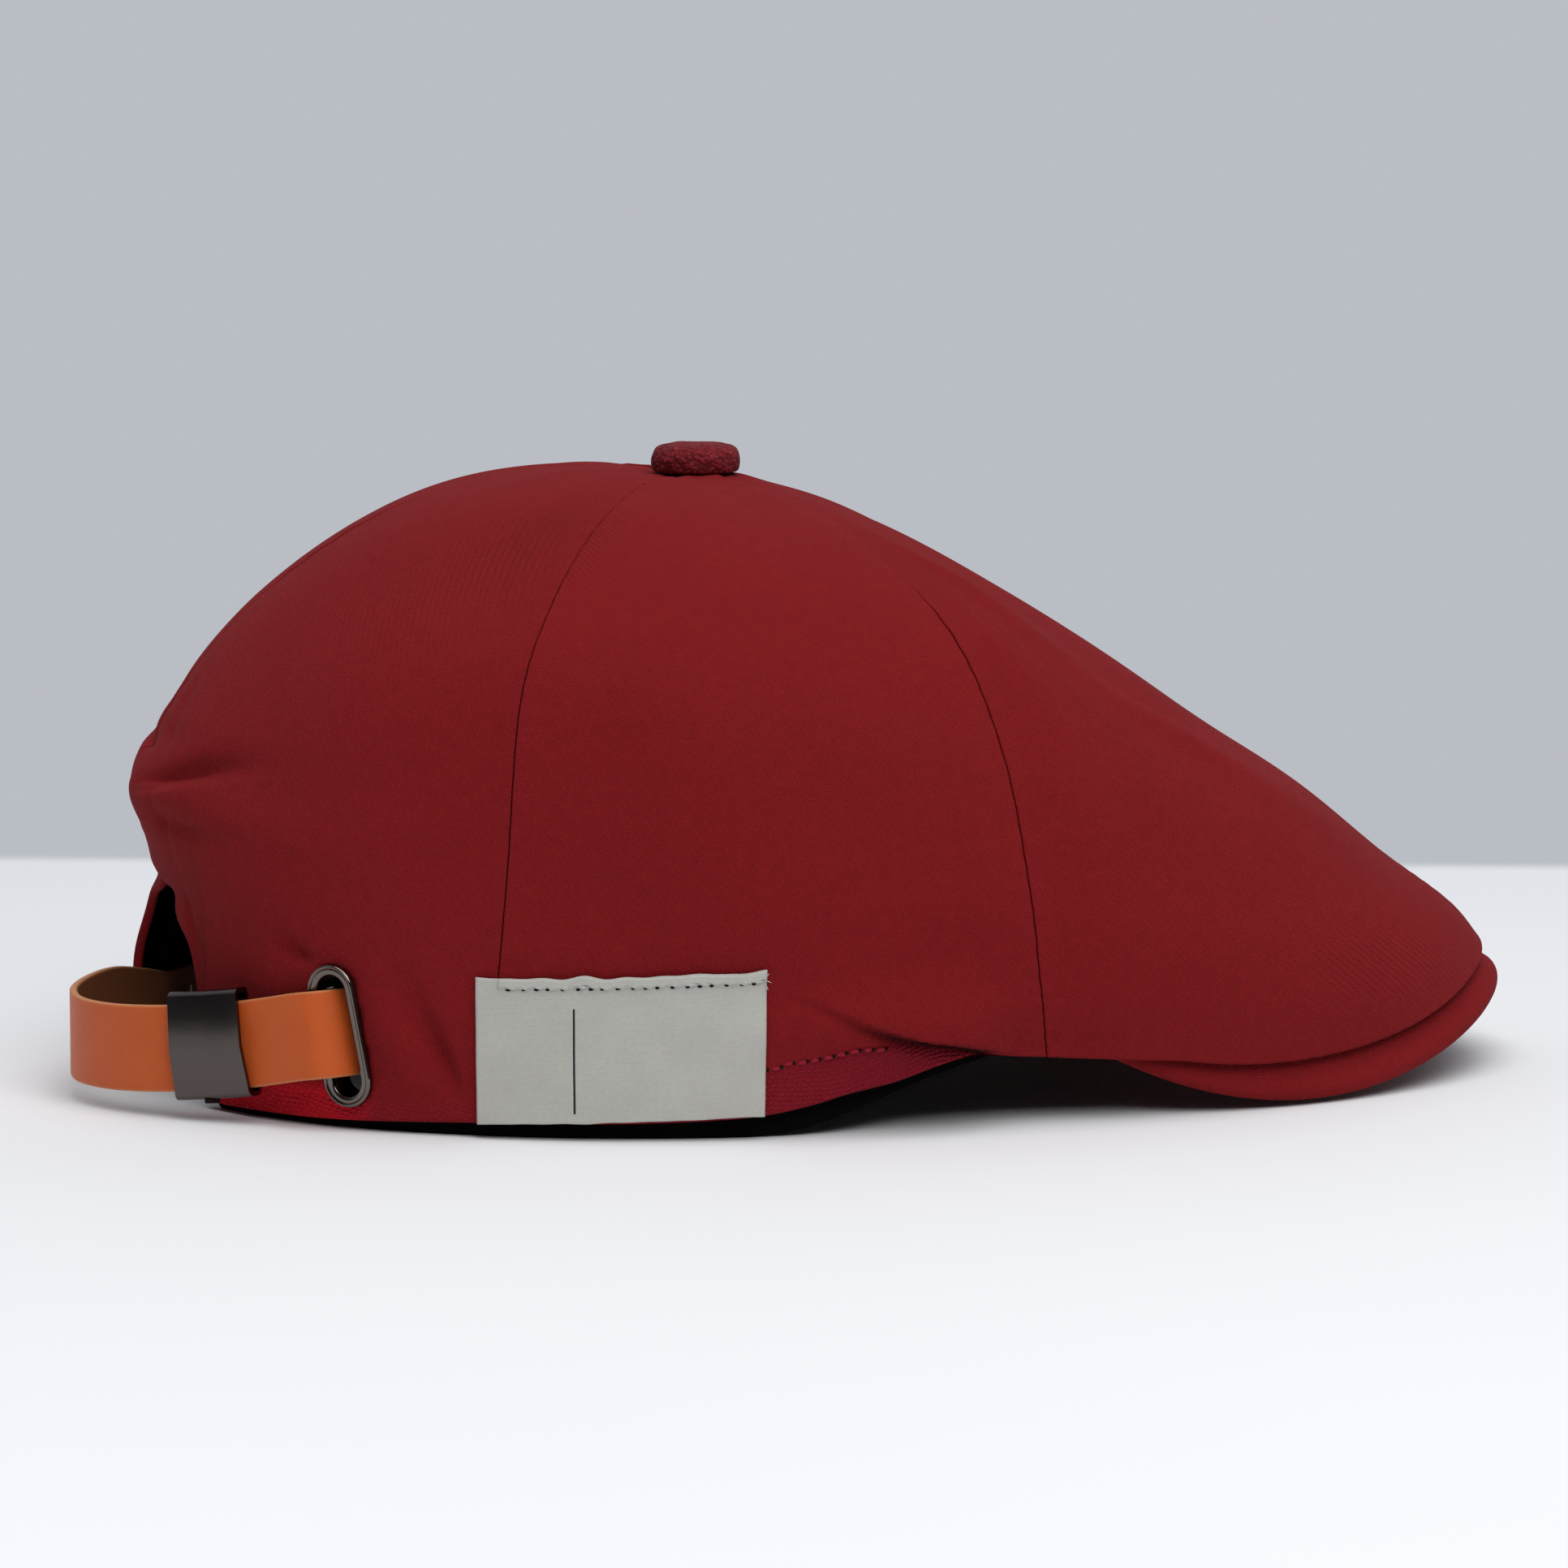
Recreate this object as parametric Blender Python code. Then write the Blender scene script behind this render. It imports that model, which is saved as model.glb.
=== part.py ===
"""Six-panel flat cap with a covered button, a stiff peak and a leather strap across its back opening.

Metres, +Z up. +X is forward, towards the tip of the peak, and the cap rests on z = 0.
Bearings are in degrees round the button, seen from above: 0 is forward, 90 is the wearer's right (-Y),
-90 the wearer's left (+Y) and 180 straight back.
"""
import bmesh
import bpy
import math
import numpy as np

# Clearances
GAP = 0.0003                     # between two pieces that touch
SEAM_GAP = 0.0003                # between neighbouring crown panels

# Head and crown
HEAD_X = -0.0195                 # the button and the middle of the head, along X
HEAD_HALF_LENGTH = 0.1070        # outside of the sweatband
HEAD_HALF_WIDTH = 0.0820
CROWN_HEIGHT = 0.1210            # outer face of the crown under the button
CROWN_CLOTH = 0.0018             # twill and its lining
CORNER_PUSH = 0.0095             # the strap pushes the left back corner outwards
CORNER_BEARING = -160.0
CORNER_SPREAD = 20.0
CORNER_FADE = 0.0620             # height where the push ends

# Sweatband and the crown's lower edge
BAND_GAP = 0.0007                # between the sweatband and the crown
SWEATBAND_CLOTH = 0.0013
SWEATBAND_HEIGHT = 0.0340
SWEATBAND_FRONT = 0.40           # its height at the forehead, as a share
SWEATBAND_DROP = 0.0030          # it reaches below the root of the peak
SWEATBAND_LEAN = 0.0018          # its upper edge stands inwards
TEMPLE_RISE = 0.0138             # the crown's lower edge at the temples, above the ground
OVERHANG = 0.0045                # the crown stands out from the sweatband at the temples

# Peak
PEAK_CENTRE_X = 0.0385           # middle of the ellipse that the rim follows
PEAK_TIP_X = 0.1447
PEAK_HALF_WIDTH = 0.0715
PEAK_TIP_HEIGHT = 0.0156         # underside at the tip
PEAK_SLOPE = 0.640               # fall towards the tip
PEAK_CURL = 0.0656               # fall from the middle to the half width
PEAK_CLOTH = 0.0035
PEAK_CORNER = 50.0               # bearing of the peak's corners
PEAK_GAP = 0.0005                # between the peak and the crown over it
PEAK_LIP = 0.0050                # rim left bare in front of the crown's edge
LIP_START = 45.0                 # bearings where the lip begins and is full
LIP_FULL = 20.0
CORNER_HANG = 0.0068             # the crown's edge hangs down over the peak's corners
CORNER_HANG_START = 42.0

# Back opening
OPENING_HALF_WIDTH = 0.0290
OPENING_HEIGHT = 0.0410
OPENING_ROUNDNESS = 2.4

# Button
BUTTON_RADIUS = 0.0090
BUTTON_HEIGHT = 0.0061
BUTTON_SEAT = 0.0128             # radius of the level place round it
BUTTON_HOLE = 0.0040             # where the panels end under it
SHANK_RADIUS = 0.0030
SHANK_LENGTH = 0.0030

# Label
LABEL_START = 90.5               # bearings of its front and back edges
LABEL_END = 126.6
LABEL_LOW = 0.0044               # middle of its lower edge, above the ground
LABEL_HEIGHT = 0.0277
LABEL_TILT = 0.0019              # its front edge stands higher than its back edge
LABEL_CLOTH = 0.0010

# Strap, slider and eyelet
STRAP_WIDTH = 0.0170
STRAP_LEATHER = 0.0016
STRAP_REACH = 0.0200             # greatest distance of the loop from the head
STRAP_HEIGHT = 0.0124            # its middle above the ground, at the bend
SLIDER_LENGTH = 0.0154
SLIDER_METAL = 0.0009
SLIDER_PLAY = 0.0007             # between the slider and the strap's edges
SLIDER_BEARING = 156.9
EYELET_BEARING = 142.8
EYELET_HEIGHT = 0.0186           # its middle above the ground
EYELET_LEAN = 10.5               # degrees, its top towards the back
EYELET_LONG = 0.0282             # outside of the flange
EYELET_WIDE = 0.0118
EYELET_RIM = 0.0022              # width of the flange
EYELET_CREST = 0.0011            # thickness of the flange
EYELET_TUBE = 0.0006             # wall of the tube that goes through the cloth
EYELET_DEPTH = 0.0046            # how deep the tube goes below the crown's face
FLANGE_LIFT = 0.0005             # the flat flange stands off the curved cloth

# Flange and tube of the eyelet. A row for each corner: distance from the inner face as a share of
# EYELET_RIM, height over the cloth as a share of EYELET_CREST, or the tube's wall and depth.
EYELET_COLUMNS = ("rim", "tube", "crest", "depth")
EYELET_ROWS = (
    (0.00, 0.0, 0.00, 1.0),
    (0.00, 0.0, 0.65, 0.0),
    (0.22, 0.0, 1.00, 0.0),
    (0.62, 0.0, 1.00, 0.0),
    (0.92, 0.0, 0.65, 0.0),
    (1.00, 0.0, 0.00, 0.0),
    (0.00, 1.0, 0.00, 0.0),
    (0.00, 1.0, 0.00, 1.0),
)

# Way of the strap, seen from above. A row for each place: distance from the sweatband's outer face as a
# share of STRAP_REACH, height of its middle as a share of STRAP_HEIGHT, lean as a share of EYELET_LEAN.
STRAP_COLUMNS = ("bearing", "out", "height", "lean")
STRAP_ROWS = (
    (125.3, -0.190, 1.56, 0.50),
    (134.0, -0.195, 1.56, 0.80),
    (138.5, -0.210, 1.56, 1.00),
    (141.0, -0.188, 1.55, 1.00),
    (142.1, -0.100, 1.55, 1.00),
    (142.8, 0.020, 1.54, 1.00),
    (143.5, 0.185, 1.53, 1.00),
    (144.6, 0.340, 1.51, 1.00),
    (146.3, 0.390, 1.47, 0.95),
    (149.8, 0.375, 1.36, 0.75),
    (153.4, 0.405, 1.25, 0.45),
    (157.0, 0.550, 1.17, 0.20),
    (161.5, 0.785, 1.09, 0.05),
    (166.6, 0.940, 1.04, 0.00),
    (172.0, 0.990, 1.01, 0.00),
    (177.0, 0.860, 0.98, 0.00),
    (181.8, 0.620, 0.94, 0.00),
    (186.7, 0.330, 0.90, 0.00),
    (190.8, 0.055, 0.86, 0.00),
    (194.6, -0.170, 0.84, 0.00),
    (200.0, -0.205, 0.82, 0.00),
    (206.0, -0.205, 0.82, 0.00),
)

# Facets: columns go round the head or along a piece, rows go down or across it
CROWN_ROWS = 18
FRONT_COLUMNS = 16
SIDE_COLUMNS = 12
BACK_COLUMNS = 14
SWEATBAND_FACETS = (76, 3)
PEAK_FACETS = (32, 7)
LABEL_FACETS = (12, 5)
STRAP_FACETS = (100, 1)
SLIDER_COLUMNS = 24
SLIDER_STATIONS = 5
EYELET_SIDES = 32
BUTTON_SIDES = 28
SHARP_EDGE = 40.0                # degrees between facets that are not smoothed

# Button, from the shank's end over the dome. A row for each ring: radius as a share of BUTTON_RADIUS or
# of SHANK_RADIUS, height as a share of BUTTON_HEIGHT, depth as a share of SHANK_LENGTH.
BUTTON_COLUMNS = ("dome", "shank", "height", "depth")
BUTTON_ROWS = (
    (0.00, 0.0, 0.00, 1.0),
    (0.00, 1.0, 0.00, 1.0),
    (0.00, 1.0, 0.00, 0.0),
    (0.88, 0.0, 0.00, 0.0),
    (0.97, 0.0, 0.12, 0.0),
    (1.00, 0.0, 0.36, 0.0),
    (0.98, 0.0, 0.62, 0.0),
    (0.88, 0.0, 0.85, 0.0),
    (0.66, 0.0, 0.97, 0.0),
    (0.00, 0.0, 1.00, 0.0),
)

# Crown sections. A row for each bearing at the top; outN is a share of the radius of the crown's edge
# below, upN a share of CROWN_HEIGHT, and lean turns the lower end of the section, in degrees.
SECTION_STEP = 30.0
SECTION_COLUMNS = ("out1", "up1", "out2", "up2", "out3", "up3",
                   "out4", "up4", "out5", "up5", "out6", "up6", "lean")
SECTION_ROWS = (
    (0.185, 0.936, 0.370, 0.800, 0.555, 0.642, 0.740, 0.488, 0.875, 0.346, 0.962, 0.260, 0.0),
    (0.228, 0.952, 0.455, 0.838, 0.672, 0.688, 0.850, 0.504, 0.950, 0.315, 0.992, 0.180, -3.0),
    (0.296, 0.976, 0.568, 0.904, 0.802, 0.778, 0.940, 0.598, 1.000, 0.376, 1.006, 0.220, -6.0),
    (0.333, 0.988, 0.595, 0.936, 0.820, 0.838, 0.981, 0.687, 1.035, 0.458, 1.025, 0.240, -1.0),
    (0.312, 1.000, 0.579, 0.947, 0.813, 0.842, 0.952, 0.695, 0.985, 0.420, 0.998, 0.200, 6.0),
    (0.285, 1.014, 0.560, 0.960, 0.796, 0.824, 0.954, 0.654, 1.018, 0.458, 1.008, 0.250, 2.0),
    (0.275, 1.014, 0.550, 0.955, 0.797, 0.814, 0.962, 0.645, 1.036, 0.500, 0.988, 0.330, 0.0),
)
STATIONS = 7

# Lower edges behind the peak. A row for each bearing: lower edge of the crown and of the sweatband as
# shares of TEMPLE_RISE, and how far the crown stands out as a share of OVERHANG.
EDGE_COLUMNS = ("bearing", "crown", "sweatband", "flare")
EDGE_ROWS = (
    (54.0, 0.950, 1.10, 1.00),
    (60.0, 1.010, 0.92, 0.65),
    (63.5, 1.020, 0.82, 0.42),
    (67.0, 0.930, 0.72, 0.26),
    (73.0, 0.720, 0.50, 0.10),
    (79.0, 0.590, 0.27, 0.03),
    (84.0, 0.450, 0.12, 0.00),
    (90.0, 0.330, 0.03, 0.00),
    (97.0, 0.270, 0.00, 0.00),
    (105.0, 0.240, 0.00, 0.00),
    (125.0, 0.210, 0.00, 0.00),
    (150.0, 0.110, 0.00, 0.00),
    (180.0, 0.090, 0.00, 0.00),
)

# Folds and dents of the crown: middle as bearing and share of CROWN_HEIGHT, reach in degrees and as a
# share of CROWN_HEIGHT, slant in degrees for each share of height, and depth as a share of CROWN_CLOTH.
FOLD_COLUMNS = ("bearing", "height", "spread", "reach", "slant", "depth")
FOLD_ROWS = (
    (172.0, 0.640, 9.0, 0.050, 0.0, -1.2),
    (173.0, 0.520, 9.0, 0.045, 0.0, 0.7),
    (160.0, 0.545, 12.0, 0.035, 0.0, -0.9),
    (158.0, 0.460, 11.0, 0.035, 0.0, 0.7),
    (129.0, 0.130, 4.0, 0.100, 0.0, -0.1),
    (135.5, 0.190, 4.5, 0.120, 0.0, 0.8),
    (76.0, 0.185, 13.0, 0.045, -40.0, 1.3),
    (-168.0, 0.640, 10.0, 0.045, 0.0, -0.9),
    (-150.0, 0.500, 14.0, 0.050, 0.0, 0.7),
    (-130.0, 0.200, 6.0, 0.120, 0.0, 0.7),
    (-78.0, 0.190, 14.0, 0.050, 40.0, 1.2),
)


def column(rows, names, name):
    """One named column of a table."""
    return np.array([row[names.index(name)] for row in rows])


def hermite(start, end, leave, arrive, s):
    """The cubic from start to end with the given slopes, read at s from 0 to 1."""
    s2, s3 = s * s, s * s * s
    return (start * (2 * s3 - 3 * s2 + 1) + leave * (s3 - 2 * s2 + s)
            + end * (3 * s2 - 2 * s3) + arrive * (s3 - s2))


def smooth(xs, ys, x):
    """A smooth curve through the points (xs, ys), level at both ends, read at x."""
    slopes = np.zeros(len(xs))
    slopes[1:-1] = (ys[2:] - ys[:-2]) / (xs[2:] - xs[:-2])
    x = np.clip(x, xs[0], xs[-1])
    i = np.clip(np.searchsorted(xs, x, side="right") - 1, 0, len(xs) - 2)
    step = xs[i + 1] - xs[i]
    return hermite(ys[i], ys[i + 1], slopes[i] * step, slopes[i + 1] * step, (x - xs[i]) / step)


def turn_from(bearing, other):
    """The turn from another bearing, between -180 and 180 degrees."""
    return (bearing - other + 180.0) % 360.0 - 180.0


def unit(vectors):
    """Vectors brought to unit length."""
    return vectors / np.linalg.norm(vectors, axis=-1, keepdims=True)


def at_bearing(bearing, radius, height):
    """Points round the button's axis."""
    a = np.radians(bearing)
    x = HEAD_X + radius * np.cos(a)
    return np.stack([x, -radius * np.sin(a), height + 0 * x], axis=-1)


def halve(low, high, is_low):
    """The place between low and high where is_low stops being true."""
    for _ in range(30):
        middle = (low + high) / 2
        below = is_low(middle)
        low = np.where(below, middle, low)
        high = np.where(below, high, middle)
    return high


# Head

def oval_radius(bearing):
    """Radius of the oval that the sweatband would follow if nothing pushed it."""
    a = np.radians(bearing)
    return 1 / np.hypot(np.cos(a) / HEAD_HALF_LENGTH, np.sin(a) / HEAD_HALF_WIDTH)


def corner_push(bearing, height):
    """How far the left back corner is pushed out."""
    fade = np.clip(1 - height / CORNER_FADE, 0.0, 1.0)
    turn = turn_from(bearing, CORNER_BEARING) / CORNER_SPREAD
    return CORNER_PUSH * np.exp(-turn ** 2) * np.sin(fade * math.pi / 2) ** 2


def head_radius(bearing, height=0.0):
    """Outer radius of the sweatband."""
    return oval_radius(bearing) + corner_push(bearing, height)


# Peak

def rim_radius(bearing):
    """Distance from the button's axis to the rim of the peak's underside."""
    a = np.radians(bearing)
    long, wide = PEAK_TIP_X - PEAK_CENTRE_X, PEAK_HALF_WIDTH
    back = HEAD_X - PEAK_CENTRE_X
    square = (np.cos(a) / long) ** 2 + (np.sin(a) / wide) ** 2
    half = back * np.cos(a) / long ** 2
    return (-half + np.sqrt(half ** 2 - square * ((back / long) ** 2 - 1))) / square


def peak_face(bearing, radius, lift):
    """Points of the peak's underside, lifted off it by the given distance."""
    p = at_bearing(bearing, radius, 0.0)
    sag = PEAK_CURL / PEAK_HALF_WIDTH ** 2
    p[..., 2] = PEAK_TIP_HEIGHT + PEAK_SLOPE * (PEAK_TIP_X - p[..., 0]) - sag * p[..., 1] ** 2
    level = np.ones_like(p[..., 0])
    normal = unit(np.stack([PEAK_SLOPE * level, 2 * sag * p[..., 1], level], axis=-1))
    return p + (lift * level)[..., None] * normal


def lip(bearing):
    """Radial width of the rim that the crown leaves bare."""
    share = np.clip((LIP_START - bearing) / (LIP_START - LIP_FULL), 0.0, 1.0)
    return PEAK_LIP * np.sin(share * math.pi / 2)


# Lower edges of the crown and of the sweatband

def edge_table():
    """Radius and height of the crown's edge and height of the sweatband's, for one side's bearings."""
    on_peak = np.linspace(0.0, PEAK_CORNER, 11)
    hang = np.clip((on_peak - CORNER_HANG_START) / (PEAK_CORNER - CORNER_HANG_START), 0.0, 1.0)
    p = peak_face(on_peak, rim_radius(on_peak) - lip(on_peak), PEAK_CLOTH + PEAK_GAP + CROWN_CLOTH)
    x, y = p[:, 0] - HEAD_X, -p[:, 1]
    root = peak_face(on_peak, head_radius(on_peak) + GAP, 0.0)[:, 2]
    rest = column(EDGE_ROWS, EDGE_COLUMNS, "bearing")
    crown = TEMPLE_RISE * column(EDGE_ROWS, EDGE_COLUMNS, "crown")
    sweatband = TEMPLE_RISE * column(EDGE_ROWS, EDGE_COLUMNS, "sweatband")
    flare = OVERHANG * column(EDGE_ROWS, EDGE_COLUMNS, "flare")
    return {
        "edge_bearing": np.append(np.degrees(np.arctan2(y, x)), rest),
        "edge_radius": np.append(np.hypot(x, y), oval_radius(rest) + BAND_GAP + CROWN_CLOTH + flare),
        "edge_height": np.append(p[:, 2] - CORNER_HANG * hang ** 1.5, crown),
        "band_bearing": np.append(on_peak, rest),
        "band_height": np.append(root - SWEATBAND_DROP, sweatband),
    }


EDGE = edge_table()


def read_edge(bearing, along, name):
    """One value of the lower edges, the same on both sides."""
    return smooth(EDGE[along], EDGE[name], np.abs(turn_from(bearing, 0.0)))


# Crown

def section(theta, name):
    """One column of the crown's sections, the same on both sides."""
    rows = column(SECTION_ROWS, SECTION_COLUMNS, name)
    return smooth(SECTION_STEP * np.arange(len(rows)), rows, np.abs(turn_from(theta, 0.0)))


def folds(bearing, height):
    """How far folds and dents move the crown's face out."""
    out = 0 * bearing
    for middle, up, spread, reach, slant, depth in FOLD_ROWS:
        rise = height / CROWN_HEIGHT - up
        turn = turn_from(bearing, middle + slant * rise)
        out = out + CROWN_CLOTH * depth * np.exp(-(turn / spread) ** 2 - (rise / reach) ** 2)
    return out


def pick(values, i):
    """One value for each point from a stack of rows."""
    return np.take_along_axis(values, i[None, :], axis=0)[0]


def crown_lean(theta):
    """How far the lower end of a section turns away from its upper end."""
    return np.where(turn_from(theta, 0.0) < 0, -1.0, 1.0) * section(theta, "lean")


def crown_face(theta, t):
    """Outer face of the crown: theta is the bearing at the top, t runs from the button to the edge."""
    edge_bearing = theta + crown_lean(theta)
    edge_radius = read_edge(edge_bearing, "edge_bearing", "edge_radius")
    far_radius = read_edge(edge_bearing + 180.0, "edge_bearing", "edge_radius")
    out = [-far_radius * section(theta + 180.0, "out1"), 0 * theta]
    up = [CROWN_HEIGHT * section(theta + 180.0, "up1"), CROWN_HEIGHT + 0 * theta]
    for station in range(1, STATIONS):
        out.append(edge_radius * section(theta, "out%d" % station))
        up.append(CROWN_HEIGHT * section(theta, "up%d" % station))
    out.append(edge_radius)
    up.append(read_edge(edge_bearing, "edge_bearing", "edge_height"))
    out = np.stack(out + [2 * out[-1] - out[-2]])
    up = np.stack(up + [2 * up[-1] - up[-2]])
    place = np.clip(t, 0.0, 1.0) * STATIONS
    i = np.minimum(place.astype(int), STATIONS - 1)
    radius, height = (hermite(pick(v, i + 1), pick(v, i + 2), (pick(v, i + 2) - pick(v, i)) / 2,
                              (pick(v, i + 3) - pick(v, i + 1)) / 2, place - i) for v in (out, up))
    height = height + (CROWN_HEIGHT - height) / (1 + (radius / BUTTON_SEAT) ** 6)
    bearing = theta + crown_lean(theta) * t ** 2
    return at_bearing(bearing, radius + corner_push(bearing, height) + folds(bearing, height), height)


def crown_normal(theta, t):
    """Outward normal of the crown's face."""
    turn, step = 0.2, 0.002
    across = crown_face(theta + turn, t) - crown_face(theta - turn, t)
    down = crown_face(theta, np.minimum(t + step, 1.0)) - crown_face(theta, t - step)
    return unit(np.cross(across, down))


def on_crown(bearing, height):
    """Where a bearing and a height are found on the crown's face."""
    theta = bearing + 0 * height
    for _ in range(4):
        t = halve(0.3 + 0 * theta, 1.0 + 0 * theta, lambda m: crown_face(theta, m)[:, 2] > height)
        theta = bearing - crown_lean(theta) * t ** 2
    return theta, t


def opening_height(y):
    """Height of the back opening at a distance from the middle plane."""
    share = np.clip(np.abs(y) / OPENING_HALF_WIDTH, 0.0, 1.0)
    return OPENING_HEIGHT * (1 - share ** OPENING_ROUNDNESS) ** (1 / OPENING_ROUNDNESS)


def crown_end(theta):
    """Where a section of the crown ends: at the edge, or higher where the back opening cuts it."""
    behind = np.abs(turn_from(theta, 0.0)) > 90.0

    def covered(t):
        p = crown_face(theta, t)
        return (p[:, 2] > opening_height(p[:, 1])) | ~behind

    return halve(0.5 + 0 * theta, 1.0 + 0 * theta, covered)


def axis_distance(p):
    """Distance of points from the button's axis."""
    return np.hypot(p[:, 0] - HEAD_X, p[:, 1])


def crown_at_radius(theta, radius):
    """Where a section of the crown passes a radius near the button."""
    return halve(0 * theta, 0.2 + 0 * theta, lambda t: axis_distance(crown_face(theta, t)) < radius)


# Meshes

def map_grid(bm, place):
    """Move a bmesh of unit size to its place."""
    grid = np.array([vert.co[:] for vert in bm.verts])
    points = place(grid[:, 0] + 0.5, grid[:, 1] + 0.5, grid[:, 2])
    for vert, point in zip(bm.verts, points):
        vert.co = point


def slab(name, material, facets, place):
    """A bent plate: place(u, v, w) puts each corner of a block of unit size."""
    bm = bmesh.new()
    bmesh.ops.create_grid(bm, x_segments=facets[0], y_segments=facets[1], size=0.5)
    top = bmesh.ops.extrude_face_region(bm, geom=bm.faces[:])["geom"]
    for vert in top:
        if isinstance(vert, bmesh.types.BMVert):
            vert.co.z = 1.0
    map_grid(bm, place)
    return finish(name, material, bm)


def loop(name, material, facets, place):
    """A closed ring of a closed section: place(u, v, w) goes round both ways, w is not used."""
    bm = bmesh.new()
    bmesh.ops.create_grid(bm, x_segments=facets[0], y_segments=facets[1], size=0.5)
    map_grid(bm, place)
    return finish(name, material, bm)


def finish(name, material, bm):
    """Turn a bmesh into an object with its normals outwards."""
    bmesh.ops.remove_doubles(bm, verts=bm.verts[:], dist=1e-7)
    bmesh.ops.recalc_face_normals(bm, faces=bm.faces[:])
    for face in bm.faces:
        face.smooth = True
    mesh = bpy.data.meshes.new(name)
    bm.to_mesh(mesh)
    bm.free()
    mesh.materials.append(material)
    mesh.set_sharp_from_angle(angle=math.radians(SHARP_EDGE))
    obj = bpy.data.objects.new(name, mesh)
    bpy.context.collection.objects.link(obj)
    return obj


def cut(obj, cutter):
    """Take a cutter's shape out of an object."""
    cutter.hide_render = True
    cutter.display_type = "WIRE"
    modifier = obj.modifiers.new("hole", "BOOLEAN")
    modifier.operation = "DIFFERENCE"
    modifier.solver = "EXACT"
    modifier.object = cutter


def rounded(u, half_x, half_y, corner, grow):
    """Outline of a rectangle with round corners, grown outwards by a distance."""
    a = 2 * math.pi * u
    across, up = np.cos(a).round(9), np.sin(a).round(9)
    return (np.sign(across) * (half_x - corner) + across * (corner + grow),
            np.sign(up) * (half_y - corner) + up * (corner + grow))


def principled(name, colour, roughness, metallic=0.0):
    """A material with one shader."""
    result = bpy.data.materials.new(name)
    result.use_nodes = True
    shader = result.node_tree.nodes["Principled BSDF"]
    shader.inputs["Base Color"].default_value = (*colour, 1.0)
    shader.inputs["Roughness"].default_value = roughness
    shader.inputs["Metallic"].default_value = metallic
    return result


# Materials

def burgundy_twill():
    """Matt cotton twill of the crown, the button and the peak."""
    return principled("burgundy_twill", (0.184, 0.012, 0.015), 0.85)


def black_cloth():
    """Black cloth of the sweatband."""
    return principled("black_cloth", (0.006, 0.005, 0.006), 0.90)


def grey_woven():
    """Smooth woven cloth of the label."""
    return principled("grey_woven_label", (0.376, 0.361, 0.381), 0.75)


def tan_leather():
    """Smooth leather of the strap."""
    return principled("tan_leather", (0.371, 0.083, 0.030), 0.55)


def gunmetal():
    """Dark plated metal of the slider and the eyelet."""
    return principled("gunmetal", (0.100, 0.085, 0.080), 0.32, 1.0)


# Pieces

def crown_panel(name, cloth, start, end, columns):
    """One panel of the crown between two seams, with a small gap left at each seam."""
    def place(u, v, w):
        theta = panel_bearing(start, end, u)
        hole, seat = crown_at_radius(theta, BUTTON_HOLE), crown_at_radius(theta, BUTTON_RADIUS)
        row = v * CROWN_ROWS
        t = np.where(row < 1, hole + (seat - hole) * row,
                     seat + (crown_end(theta) - seat) * (row - 1) / (CROWN_ROWS - 1))
        trim = SEAM_GAP / 2 / axis_distance(crown_face(theta, t))
        theta = theta + np.degrees(trim) * (1 - 2 * u)
        return crown_face(theta, t) - (w * CROWN_CLOTH)[:, None] * crown_normal(theta, t)
    return slab(name, cloth, (columns, CROWN_ROWS), place)


def panel_bearing(start, end, u):
    """Bearing at the top for a column of a panel, with more columns round the back opening."""
    back = math.copysign(180.0, start + end)
    if back not in (start, end):
        return start + (end - start) * u
    corner = back - math.copysign(math.degrees(OPENING_HALF_WIDTH / HEAD_HALF_LENGTH), back)
    other = start + end - back
    share = 1 - u if start == back else u
    before = other + (corner - other) * share / 0.5
    after = back + (corner - back) * np.cos((share - 0.5) * math.pi)
    return np.where(share < 0.5, before, after)


def sweatband(cloth):
    """The band inside the crown, from one side of the back opening round the front to the other."""
    ends = [side * end_bearing(side) for side in (-1, 1)]

    def place(u, v, w):
        bearing = ends[0] + (ends[1] - ends[0]) * u
        front = np.clip(np.cos(np.radians(bearing)), 0.0, 1.0) ** 0.5
        height = SWEATBAND_HEIGHT * (1 - (1 - SWEATBAND_FRONT) * front)
        z = read_edge(bearing, "band_bearing", "band_height") + v * height
        inwards = v * SWEATBAND_LEAN + w * SWEATBAND_CLOTH
        return at_bearing(bearing, head_radius(bearing, z) - inwards, z)
    return slab("sweatband", cloth, SWEATBAND_FACETS, place)


def end_bearing(side):
    """Bearing of the sweatband's end on one side, just outside the back opening."""
    def outside(b):
        return head_radius(side * b) * np.sin(np.radians(b)) > OPENING_HALF_WIDTH + CROWN_CLOTH / 2
    return float(halve(np.array([90.0]), np.array([180.0]), outside)[0])


def peak(cloth):
    """The stiff peak, its root against the sweatband."""
    def place(u, v, w):
        bearing = PEAK_CORNER * (2 * u - 1)
        root = head_radius(bearing) + GAP
        radius = root + (rim_radius(bearing) - root) * v
        return peak_face(bearing, radius, w * PEAK_CLOTH)
    return slab("peak", cloth, PEAK_FACETS, place)


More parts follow.
